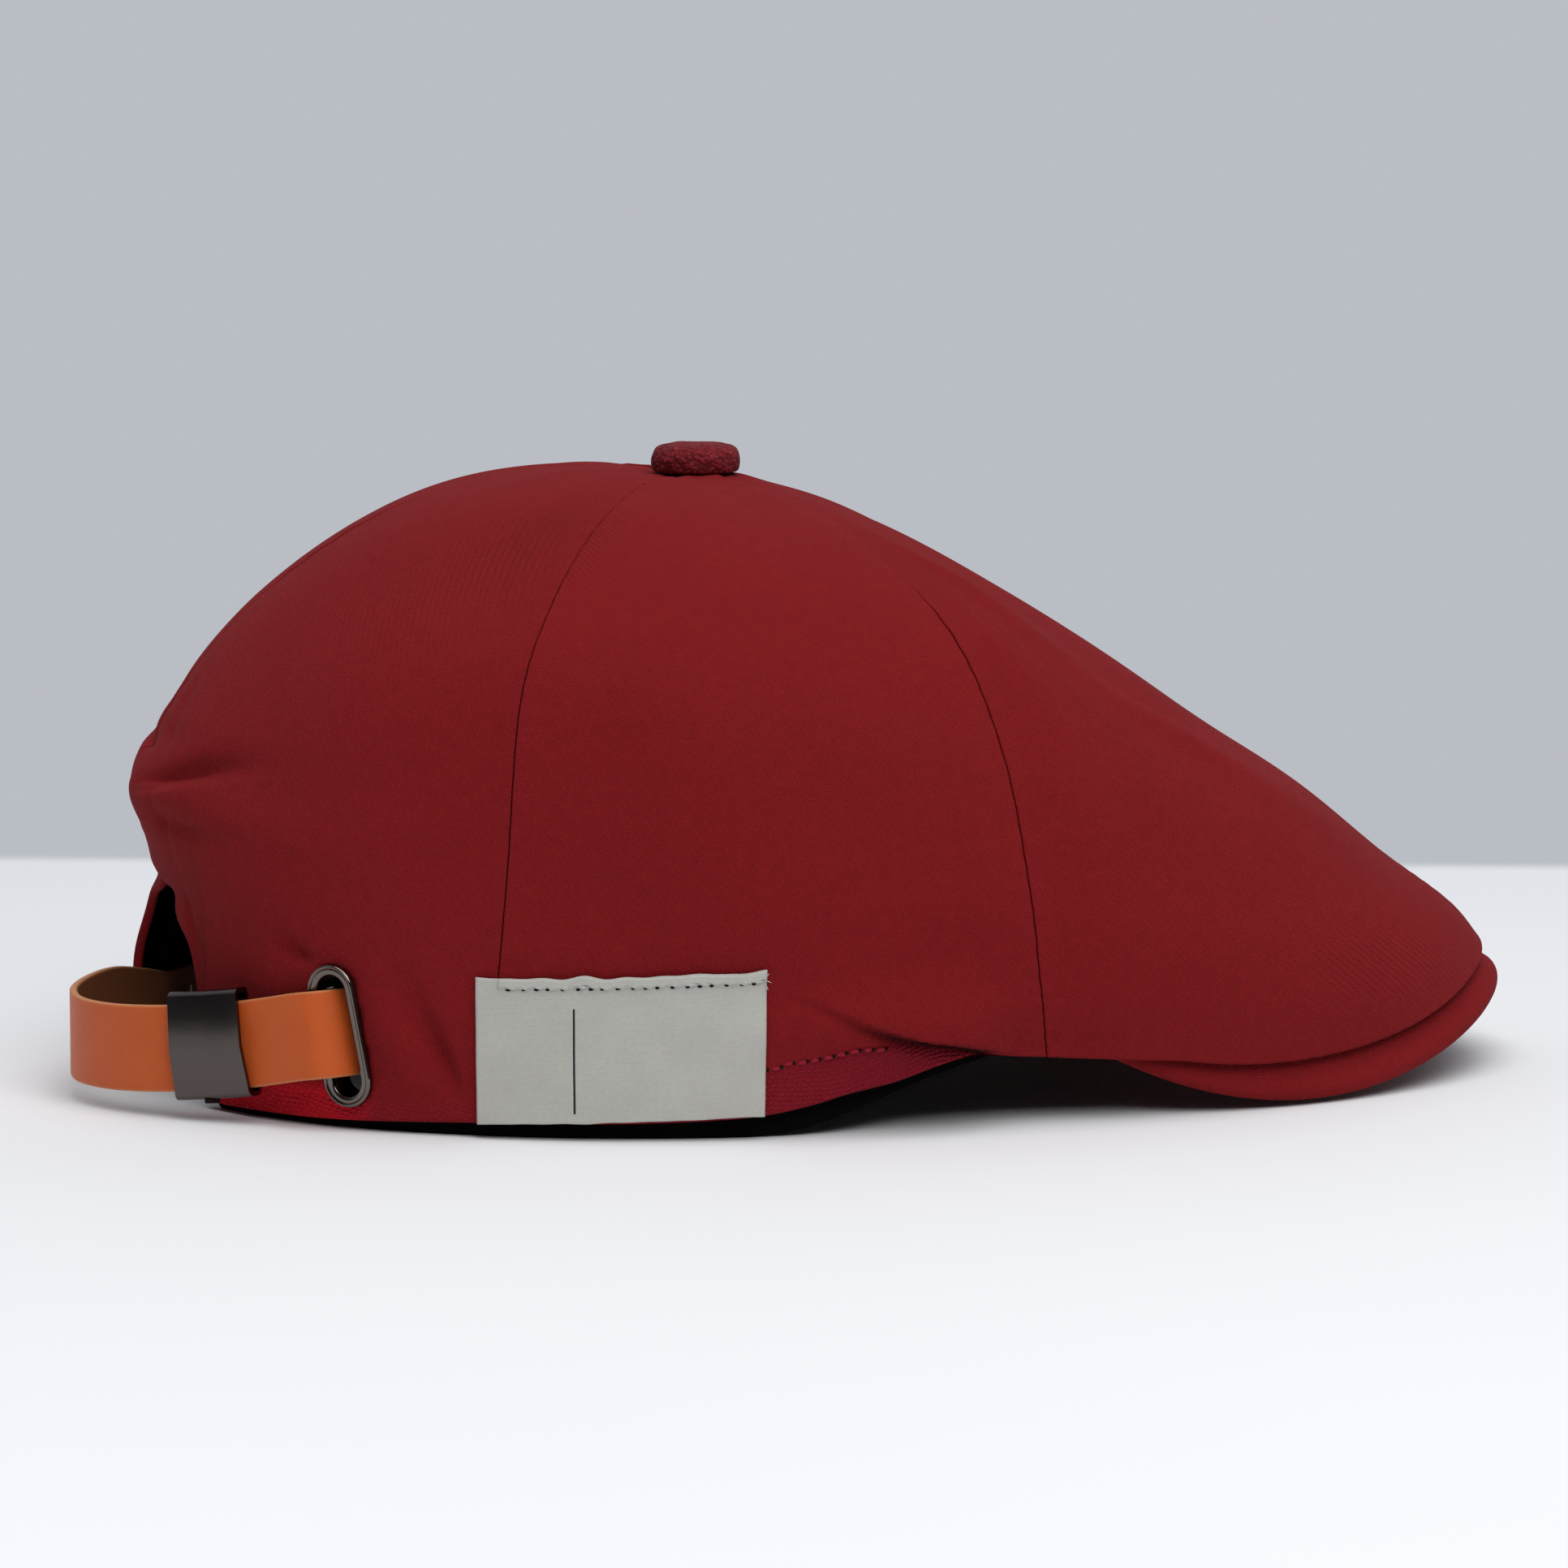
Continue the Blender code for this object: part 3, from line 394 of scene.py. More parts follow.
# Creases, each from a start to an end as bearing and height, depth, and width above and below. Each is
# deepest near its start, fading and widening towards its end. Heights and widths are shares of
# CROWN_HEIGHT, depth is a share of CROWN_CLOTH, and below 0 it is a valley.
CREASE_ROWS = (
    (173.0, 0.522, 153.0, 0.582, -1.20, 0.022, 0.008),
    (173.0, 0.496, 143.0, 0.580, 0.85, 0.010, 0.044),
    (171.0, 0.462, 146.0, 0.440, -1.25, 0.026, 0.034),
    (175.0, 0.680, 171.0, 0.500, -0.40, 0.014, 0.026),
    (170.5, 0.510, 168.5, 0.330, -0.35, 0.010, 0.022),
    (169.0, 0.335, 163.5, 0.190, -0.45, 0.018, 0.014),
    (129.4, 0.085, 137.2, 0.320, -1.50, 0.020, 0.032),
    (134.5, 0.080, 141.0, 0.320, 0.40, 0.020, 0.026),
    (147.0, 0.272, 152.0, 0.300, -1.00, 0.016, 0.018),
    (57.6, 0.130, 58.4, 0.175, -0.26, 0.006, 0.006),
    (53.2, 0.128, 53.5, 0.160, -0.26, 0.006, 0.006),
    (61.2, 0.126, 60.6, 0.150, -0.20, 0.005, 0.005),
    (50.0, 0.130, 50.6, 0.150, -0.18, 0.006, 0.006),
    (49.6, 0.890, 33.1, 0.640, 0.90, 0.040, 0.040),
    (36.0, 0.660, 10.0, 0.360, 0.70, 0.034, 0.034),
    (12.0, 0.900, 20.0, 0.800, -0.30, 0.034, 0.034),
    (-169.0, 0.560, -146.0, 0.610, -0.95, 0.034, 0.012),
    (-167.0, 0.480, -148.0, 0.430, -0.60, 0.024, 0.036),
    (-129.0, 0.100, -136.0, 0.290, -0.55, 0.022, 0.030),
    (-114.0, 0.110, -119.0, 0.260, -0.40, 0.024, 0.024),
    (-57.6, 0.130, -58.4, 0.175, -0.26, 0.006, 0.006),
    (-53.4, 0.128, -53.6, 0.160, -0.26, 0.006, 0.006),
    (-49.6, 0.890, -33.1, 0.640, 0.50, 0.040, 0.040),
    (181.0, 0.576, 174.0, 0.560, -0.55, 0.016, 0.010),
    (179.0, 0.575, 191.0, 0.590, -0.55, 0.016, 0.010),
    (178.0, 0.520, 172.0, 0.440, 0.45, 0.050, 0.050),
)

# The fold over the hem strip at the temple: its height as a share of TEMPLE_RISE and its depth
# as a share of CROWN_CLOTH. strip is the upper edge of the hem strip as a share of TEMPLE_RISE.
TEMPLE_TABLE = by_name(
    ("bearing", "fold", "depth", "strip"),
    (48.0, 0.95, 0.00, -1.00),
    (57.0, 1.05, 0.00, -0.20),
    (60.0, 1.15, 0.60, 0.80),
    (63.0, 1.36, 1.40, 1.04),
    (67.0, 1.50, 1.70, 1.18),
    (71.5, 1.54, 1.40, 1.25),
    (76.0, 1.62, 0.90, 1.23),
    (80.5, 1.76, 0.50, 1.18),
    (85.0, 1.97, 0.20, 1.11),
    (90.0, 2.10, 0.00, 0.99),
    (97.0, 2.20, 0.00, 0.85),
    (120.0, 2.20, 0.00, 0.60),
    (140.0, 2.20, 0.00, 0.45),
    (180.0, 2.20, 0.00, 0.42)
)

# Places where the cloth's ribs show: bearing, share of CROWN_HEIGHT, reach of both, and how much.
RIB_ROWS = (
    (130.5, 0.925, 11.0, 0.065, 1.00),
    (146.0, 0.820, 12.0, 0.060, 0.25),
    (21.0, 0.215, 8.0, 0.055, 0.40),
    (-135.0, 0.900, 16.0, 0.090, 0.80),
    (-100.0, 0.700, 14.0, 0.080, 0.35),
    (-21.0, 0.215, 8.0, 0.055, 0.40),
)


def hermite(start, end, leave, arrive, s):
    """The cubic from start to end with the given slopes, read at s from 0 to 1."""
    s2, s3 = s * s, s * s * s
    return (start * (2 * s3 - 3 * s2 + 1) + leave * (s3 - 2 * s2 + s)
            + end * (3 * s2 - 2 * s3) + arrive * (s3 - s2))


def smooth(xs, ys, x):
    """A smooth curve through the points (xs, ys), level at both ends, read at x."""
    slopes = np.zeros(len(xs))
    slopes[1:-1] = (ys[2:] - ys[:-2]) / (xs[2:] - xs[:-2])
    x = np.clip(x, xs[0], xs[-1])
    i = np.clip(np.searchsorted(xs, x, side="right") - 1, 0, len(xs) - 2)
    step = xs[i + 1] - xs[i]
    return hermite(ys[i], ys[i + 1], slopes[i] * step, slopes[i + 1] * step, (x - xs[i]) / step)


def ramp(low, high, x):
    """0 below low, 1 above high and a soft step between them."""
    s = np.clip((x - low) / (high - low), 0.0, 1.0)
    return s * s * (3 - 2 * s)


def turn_from(bearing, other):
    """The turn from another bearing, between -180 and 180 degrees."""
    return (bearing - other + 180.0) % 360.0 - 180.0


def fade(x, reach):
    """1 at 0, fading on both sides over a reach."""
    return np.exp(-(x / reach) ** 2)


def unit(vectors):
    """Vectors brought to unit length."""
    return vectors / np.linalg.norm(vectors, axis=-1, keepdims=True)


def at_bearing(bearing, radius, height):
    """Points round the button's axis."""
    a = np.radians(bearing)
    x = HEAD_X + radius * np.cos(a)
    return np.stack([x, -radius * np.sin(a), height + 0 * x], axis=-1)


def halve(low, high, is_low):
    """The place between low and high where is_low stops being true."""
    for _ in range(30):
        middle = (low + high) / 2
        below = is_low(middle)
        low = np.where(below, middle, low)
        high = np.where(below, high, middle)
    return high


def oval_radius(bearing):
    """Radius of the oval that the sweatband would follow if nothing pushed it."""
    a = np.radians(bearing)
    return 1 / np.hypot(np.cos(a) / HEAD_HALF_LENGTH, np.sin(a) / HEAD_HALF_WIDTH)


def corner_push(bearing, height):
    """How far the left back corner is pushed out."""
    low = np.clip(1 - height / CORNER_FADE, 0.0, 1.0)
    turn = turn_from(bearing, CORNER_BEARING)
    return CORNER_PUSH * fade(turn, CORNER_SPREAD) * np.sin(low * math.pi / 2) ** 2


def head_radius(bearing, height=0.0):
    """Outer radius of the sweatband."""
    return oval_radius(bearing) + corner_push(bearing, height)


def rim_radius(bearing):
    """Distance from the button's axis to the rim of the peak's underside."""
    a = np.radians(bearing)
    long, wide = PEAK_TIP_X - PEAK_CENTRE_X, PEAK_HALF_WIDTH
    back = HEAD_X - PEAK_CENTRE_X
    square = (np.cos(a) / long) ** 2 + (np.sin(a) / wide) ** 2
    half = back * np.cos(a) / long ** 2
    return (-half + np.sqrt(half ** 2 - square * ((back / long) ** 2 - 1))) / square


def peak_face(bearing, radius, lift):
    """Points of the peak's underside, lifted off it by the given distance."""
    p = at_bearing(bearing, radius, 0.0)
    sag = PEAK_CURL / PEAK_HALF_WIDTH ** 2
    p[..., 2] = PEAK_TIP_HEIGHT + PEAK_SLOPE * (PEAK_TIP_X - p[..., 0]) - sag * p[..., 1] ** 2
    level = np.ones_like(p[..., 0])
    normal = unit(np.stack([PEAK_SLOPE * level, 2 * sag * p[..., 1], level], axis=-1))
    return p + (lift * level)[..., None] * normal


def lip(bearing):
    """Radial width of the rim that the crown leaves bare."""
    share = np.clip((LIP_START - bearing) / (LIP_START - LIP_FULL), 0.0, 1.0)
    return PEAK_LIP * np.sin(share * math.pi / 2)


def edge_table():
    """Radius and height of the crown's edge and height of the sweatband's, for one side's bearings."""
    on_peak = np.linspace(0.0, PEAK_CORNER, 11)
    hang = np.clip((on_peak - CORNER_HANG_START) / (PEAK_CORNER - CORNER_HANG_START), 0.0, 1.0)
    p = peak_face(on_peak, rim_radius(on_peak) - lip(on_peak), PEAK_CLOTH + PEAK_GAP + CROWN_CLOTH)
    x, y = p[:, 0] - HEAD_X, -p[:, 1]
    root = peak_face(on_peak, head_radius(on_peak) + GAP, 0.0)[:, 2]
    rest = EDGE_TABLE["bearing"]
    crown = TEMPLE_RISE * EDGE_TABLE["crown"]
    sweatband = TEMPLE_RISE * EDGE_TABLE["sweatband"]
    flare = OVERHANG * EDGE_TABLE["flare"]
    return {
        "edge_bearing": np.append(np.degrees(np.arctan2(y, x)), rest),
        "edge_radius": np.append(np.hypot(x, y), oval_radius(rest) + BAND_GAP + CROWN_CLOTH + flare),
        "edge_height": np.append(p[:, 2] - CORNER_HANG * hang ** 1.5, crown),
        "band_bearing": np.append(on_peak, rest),
        "band_height": np.append(root - SWEATBAND_DROP, sweatband),
    }


EDGE = edge_table()


def read_edge(bearing, along, name):
    """One value of the lower edges, the same on both sides."""
    return smooth(EDGE[along], EDGE[name], np.abs(turn_from(bearing, 0.0)))


def section(theta, name):
    """One column of the crown's sections, the same on both sides."""
    rows = SECTION_TABLE[name]
    return smooth(SECTION_STEP * np.arange(len(rows)), rows, np.abs(turn_from(theta, 0.0)))


def folds(bearing, height):
    """How far folds and dents move the crown's face out."""
    out = 0 * bearing
    for middle, up, spread, reach, slant, depth in FOLD_ROWS:
        rise = height / CROWN_HEIGHT - up
        turn = turn_from(bearing, middle + slant * rise)
        out = out + CROWN_CLOTH * depth * fade(turn, spread) * fade(rise, reach)
    return out


def pick(values, i):
    """One value for each point from a stack of rows."""
    return np.take_along_axis(values, i[None, :], axis=0)[0]


def crown_lean(theta):
    """How far the lower end of a section turns away from its upper end."""
    return np.where(turn_from(theta, 0.0) < 0, -1.0, 1.0) * section(theta, "lean")


def once_each(function, theta):
    """A function of the bearing at the top, worked out once for each different bearing."""
    values, where = np.unique(theta.round(9), return_inverse=True)
    return function(values)[..., where]


def crown_section(theta):
    """Stations of the sections: radii and heights, one row for each station."""
    edge_bearing = theta + crown_lean(theta)
    edge_radius = read_edge(edge_bearing, "edge_bearing", "edge_radius")
    far_radius = read_edge(edge_bearing + 180.0, "edge_bearing", "edge_radius")
    out = [-far_radius * section(theta + 180.0, "out1"), 0 * theta]
    up = [CROWN_HEIGHT * section(theta + 180.0, "up1"), CROWN_HEIGHT + 0 * theta]
    for station in range(1, STATIONS):
        out.append(edge_radius * section(theta, "out%d" % station))
        up.append(CROWN_HEIGHT * section(theta, "up%d" % station))
    out.append(edge_radius)
    up.append(read_edge(edge_bearing, "edge_bearing", "edge_height"))
    return np.stack([np.stack(out + [2 * out[-1] - out[-2]]), np.stack(up + [2 * up[-1] - up[-2]])])


def crown_face(theta, t):
    """Outer face of the crown: theta is the bearing at the top, t runs from the button to the edge."""
    out, up = once_each(crown_section, theta)
    place = np.clip(t, 0.0, 1.0) * STATIONS
    i = np.minimum(place.astype(int), STATIONS - 1)
    radius, height = (hermite(pick(v, i + 1), pick(v, i + 2), (pick(v, i + 2) - pick(v, i)) / 2,
                              (pick(v, i + 3) - pick(v, i + 1)) / 2, place - i) for v in (out, up))
    height = height + (CROWN_HEIGHT - height) / (1 + (radius / BUTTON_SEAT) ** 6)
    bearing = theta + crown_lean(theta) * t ** 2
    return at_bearing(bearing, radius + corner_push(bearing, height) + folds(bearing, height), height)


def crown_normal(theta, t):
    """Outward normal of the crown's face."""
    turn, step = 0.2, 0.002
    across = crown_face(theta + turn, t) - crown_face(theta - turn, t)
    down = crown_face(theta, np.minimum(t + step, 1.0)) - crown_face(theta, t - step)
    return unit(np.cross(across, down))


def off_crown(theta, t, lift):
    """Points that stand over the crown's face."""
    return crown_face(theta, t) + lift[:, None] * crown_normal(theta, t)


def on_crown(bearing, height):
    """Where a bearing and a height are found on the crown's face."""
    theta = bearing + 0 * height
    for _ in range(4):
        t = halve(0.3 + 0 * theta, 1.0 + 0 * theta, lambda m: crown_face(theta, m)[:, 2] > height)
        theta = bearing - crown_lean(theta) * t ** 2
    return theta, t


def over_crown(bearing, height, lift):
    """Points that stand over the crown's face, by bearing and height."""
    return off_crown(*on_crown(bearing, height), lift)


def opening_height(y):
    """Height of the back opening at a distance from the middle plane."""
    share = np.clip(np.abs(y) / OPENING_HALF_WIDTH, 0.0, 1.0)
    return OPENING_HEIGHT * (1 - share ** OPENING_ROUNDNESS) ** (1 / OPENING_ROUNDNESS)


def crown_end(theta):
    """Where a section of the crown ends: at the edge, or higher where the back opening cuts it."""
    behind = np.abs(turn_from(theta, 0.0)) > 90.0

    def covered(t):
        p = crown_face(theta, t)
        return (p[:, 2] > opening_height(p[:, 1])) | ~behind

    return halve(0.5 + 0 * theta, 1.0 + 0 * theta, covered)


def axis_distance(p):
    """Distance of points from the button's axis."""
    return np.hypot(p[:, 0] - HEAD_X, p[:, 1])


def crown_at_radius(theta, radius):
    """Where a section of the crown passes a radius near the button."""
    return halve(0 * theta, 0.2 + 0 * theta, lambda t: axis_distance(crown_face(theta, t)) < radius)


def panel_bearing(start, end, u):
    """Bearing at the top for a column of a panel, with more columns round the back opening."""
    back = math.copysign(180.0, start + end)
    if back not in (start, end):
        return start + (end - start) * u
    corner = back - math.copysign(math.degrees(OPENING_HALF_WIDTH / HEAD_HALF_LENGTH), back)
    other = start + end - back
    share = 1 - u if start == back else u
    before = other + (corner - other) * share / 0.5
    after = back + (corner - back) * np.cos((share - 0.5) * math.pi)
    return np.where(share < 0.5, before, after)


def rounded(u, half_x, half_y, corner, grow):
    """Outline of a rectangle with round corners, grown outwards by a distance."""
    a = 2 * math.pi * u
    across, up = np.cos(a).round(9), np.sin(a).round(9)
    return (np.sign(across) * (half_x - corner) + across * (corner + grow),
            np.sign(up) * (half_y - corner) + up * (corner + grow))


def roll(distance, radius):
    """How far a round fold of a radius falls away at a distance from its edge."""
    return radius * (1 - np.sqrt(1 - np.clip(1 - distance / radius, 0.0, 1.0) ** 2))


def crowd(share, much, times=1):
    """Bring rows that are spread evenly from 0 to 1 closer together at the ends of each part."""
    turns = 2 * times * math.pi
    return share - much * np.sin(turns * share) / turns


def waves(x, y, length, seed):
    """Soft irregular waves between about -1 and 1, of a length in the units of x and y."""
    total = 0 * x
    for k in range(5):
        a = seed * 1.7 + k * 2.399
        stretch = (0.75 + 0.17 * k) * 2 * math.pi / length
        total = total + np.sin((x * math.cos(a) + y * math.sin(a)) * stretch + seed * (k + 1) * 1.3)
    return total / 3


def creases(bearing, height):
    """How far the creases move the crown's face out."""
    out = 0 * bearing
    for start, low, end, high, depth, above, below in CREASE_ROWS:
        run = np.radians(end - start) * HEAD_HALF_LENGTH
        rise = (high - low) * CROWN_HEIGHT
        x = np.radians(turn_from(bearing, start)) * HEAD_HALF_LENGTH
        y = height - low * CROWN_HEIGHT
        length = math.hypot(run, rise)
        along = (x * run + y * rise) / length ** 2
        aside = (x * rise - y * run) / length * math.copysign(1.0, -run)
        width = CROWN_HEIGHT * np.where(aside > 0, above, below) * (0.6 + 0.9 * np.clip(along, 0.0, 1.0))
        taper = ramp(-0.20, 0.22, along) * (1 - ramp(0.25, 1.05, along))
        out = out + CROWN_CLOTH * depth * taper * fade(aside, width)
    return out


def temple(bearing, name):
    """One column of the temple fold's table, the same on both sides."""
    return smooth(TEMPLE_TABLE["bearing"], TEMPLE_TABLE[name],
                  np.abs(turn_from(bearing, 0.0)))


def temple_lip(bearing, height):
    """Depth of the fold at the temple and the height over its lip."""
    return CROWN_CLOTH * temple(bearing, "depth"), height - TEMPLE_RISE * temple(bearing, "fold")


def temple_fold(bearing, height):
    """The fold that hangs over the hem strip: a bulge, and a slot below its lip."""
    depth, rise = temple_lip(bearing, height)
    bulge = depth * ramp(*LIP_SOFT, rise) * fade(np.maximum(rise, 0.0), FOLD_REACH)
    below = rise + FOLD_HANG * depth + SLOT_BELOW
    return bulge - np.minimum(SLOT_SHARE * depth, SLOT_DEPTH) * fade(below, SLOT_REACH)


def temple_shade(bearing, height):
    """1 in the slot under the fold, where no light reaches the cloth."""
    depth, rise = temple_lip(bearing, height)
    return ramp(*SHADE_DEPTH, depth) * fade(rise + FOLD_HANG * depth + SHADE_BELOW, SHADE_REACH)


def temple_sag(bearing, height):
    """How far the fold's cloth hangs down over the hem strip."""
    depth, rise = temple_lip(bearing, height)
    return FOLD_HANG * depth * ramp(*SAG_SOFT, rise) * fade(np.maximum(rise, 0.0), SAG_REACH)


def strip_share(bearing, height):
    """1 on the hem strip and 0 above it, less from the label to the eyelet, where it is pressed smooth."""
    top = TEMPLE_RISE * temple(bearing, "strip")
    back = np.abs(turn_from(bearing, 0.0))
    pressed = SMOOTHED * ramp(*SMOOTH_START, back) * (1 - ramp(*SMOOTH_END, back))
    return (1 - ramp(top - STRIP_SOFT, top + STRIP_SOFT, height)) * (1 - pressed)


def strap_glow_share(bearing, height):
    """1 on the cloth below the strap, where a brighter red is painted as the light that the tan strap
    throws on it.
    """
    return ramp(*GLOW_START, np.abs(turn_from(bearing, 0.0))) * (1 - ramp(*GLOW_TOP, height))


def rib_share(bearing, height):
    """How much the cloth's ribs show."""
    out = 0.05 + 0 * bearing
    for middle, up, spread, reach, much in RIB_ROWS:
        rise = height / CROWN_HEIGHT - up
        out = out + much * fade(turn_from(bearing, middle), spread) * fade(rise, reach)
    return np.clip(out, 0.0, 1.0)


# Meshes

def slab(name, facets, place, materials, inner=0, rim=0, turned=1.0):
    """A bent plate: place(u, v, w) puts each corner, and the UV map holds metres along its outer face.

    The inner face is of the outer cloth again beyond the row turned, where that cloth is folded in."""
    columns, rows = facets
    bm = bmesh.new()
    bmesh.ops.create_grid(bm, x_segments=columns, y_segments=rows, size=0.5)
    for item in bmesh.ops.extrude_face_region(bm, geom=bm.faces[:])["geom"]:
        if isinstance(item, bmesh.types.BMVert):
            item.co.z = 1.0
    for face in bm.faces:
        centre = face.calc_center_median()
        height = centre.z if centre.y < turned - 0.5 else 0.0
        face.material_index = 0 if height < 0.1 else inner if height > 0.9 else rim
    grid = np.array([vert.co[:] for vert in bm.verts])
    u, v, w = grid[:, 0] + 0.5, grid[:, 1] + 0.5, grid[:, 2]
    points = place(u, v, w)
    for vert, point in zip(bm.verts, points):
        vert.co = point
    i, j = np.rint(u * columns).astype(int), np.rint(v * rows).astype(int)
    face = np.zeros((rows + 1, columns + 1, 3))
    face[j[w < 0.5], i[w < 0.5]] = points[w < 0.5]
    across = np.cumsum(np.linalg.norm(np.diff(face, axis=1, prepend=face[:, :1]), axis=2), axis=1)
    down = np.cumsum(np.linalg.norm(np.diff(face, axis=0, prepend=face[:1]), axis=2), axis=0)
    across = across - across[:, [columns // 2]]
    return finish(name, bm, materials, np.stack([across[j, i], down[j, i]], axis=-1))


def ring(name, facets, place, materials):
    """A closed ring of a closed section: place(u, v, w) goes round both ways, w is not used."""
    bm = bmesh.new()
    bmesh.ops.create_grid(bm, x_segments=facets[0], y_segments=facets[1], size=0.5)
    grid = np.array([vert.co[:] for vert in bm.verts])
    for vert, point in zip(bm.verts, place(grid[:, 0] + 0.5, grid[:, 1] + 0.5, grid[:, 2])):
        vert.co = point
    bmesh.ops.remove_doubles(bm, verts=bm.verts[:], dist=1e-7)
    return finish(name, bm, materials)


def between(start, end):
    """Where a shape made along Z round its middle goes to run from one point to another."""
    turn = Vector(end - start).to_track_quat("Z", "Y").to_matrix().to_4x4()
    return Matrix.Translation(Vector((start + end) / 2)) @ turn


def new_object(name, data):
    """Add an object to the scene."""
    made = bpy.data.objects.new(name, data)
    bpy.context.collection.objects.link(made)
    return made


def new_mesh(name, bm, materials):
    """Turn a bmesh into an object."""
    mesh = bpy.data.meshes.new(name)
    bm.to_mesh(mesh)
    bm.free()
    for item in materials:
        mesh.materials.append(item)
    return new_object(name, mesh)


def values_of(items, name, width=1, kind=np.float64):
    """One value, or width numbers, of each item of a mesh."""
    values = np.zeros(len(items) * width, dtype=kind)
    items.foreach_get(name, values)
    return values.reshape(-1, width).squeeze()


def face_out(bm):
    """Turn the faces of a closed shape outwards."""
    bmesh.ops.recalc_face_normals(bm, faces=bm.faces[:])
    if bm.calc_volume(signed=True) < 0:
        bmesh.ops.reverse_faces(bm, faces=bm.faces[:])


def finish(name, bm, materials, uv=None):
    """Turn a bmesh into a piece that rides on the cap's one body."""
    face_out(bm)
    for face in bm.faces:
        face.smooth = True
    piece = new_mesh(name, bm, materials)
    piece.data.set_sharp_from_angle(angle=math.radians(SHARP))
    if uv is not None:
        corners = values_of(piece.data.loops, "vertex_index", kind=np.int32)
        layer = piece.data.uv_layers.new(name="cloth")
        layer.data.foreach_set("uv", uv[corners].astype(np.float32).ravel())
    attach(piece, "root")
    return piece


def stand_for(piece, node):
    """Let a piece replace a node of the frame."""
    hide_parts(node)
    return piece


def add_point_value(piece, name, values):
    """Give each vertex of a piece a number that its material reads."""
    attribute = piece.data.attributes.new(name, "FLOAT", "POINT")
    attribute.data.foreach_set("value", values.astype(np.float32))


# Materials

def colour(code):
    """A colour given as sRGB hex, turned to linear."""
    parts = [int(code[i:i + 2], 16) / 255 for i in (1, 3, 5)]
    return tuple(c / 12.92 if c <= 0.04045 else ((c + 0.055) / 1.055) ** 2.4 for c in parts) + (1.0,)


def new_material(name):
    """An empty material and its nodes."""
    made = bpy.data.materials.new(name)
    made.use_nodes = True
    return made, made.node_tree


def set_inputs(tree, node, inputs):
    """Link each input that is given a socket and set the others; a text is a colour in hex."""
    for name, value in inputs.items():
        if isinstance(value, bpy.types.NodeSocket):
            tree.links.new(value, node.inputs[name])
        else:
            node.inputs[name].default_value = colour(value) if isinstance(value, str) else value


def add(tree, kind, inputs, out=0, **settings):
    """Add a node with its settings and inputs, and give one of its outputs."""
    made = tree.nodes.new("ShaderNode" + kind)
    for name, value in settings.items():
        setattr(made, name, value)
    set_inputs(tree, made, inputs)
    return made.outputs[out]


def in_millimetres(tree, turn=0.0):
    """The map along the cloth's outer face in millimetres, turned by degrees."""
    source = add(tree, "UVMap", {}, uv_map="cloth")
    return add(tree, "Mapping", {"Vector": source, "Scale": (1000.0, 1000.0, 1000.0),
                                 "Rotation": (0.0, 0.0, math.radians(turn))})


def coat(made, tree, base, height, relief, others):
    """Give a shader its colour, its relief as strength and metres, and its other values."""
    bump = add(tree, "Bump", {"Height": height, "Strength": relief[0], "Distance": relief[1]})
    set_inputs(tree, tree.nodes["Principled BSDF"], {"Base Color": base, "Normal": bump, **others})
    return made


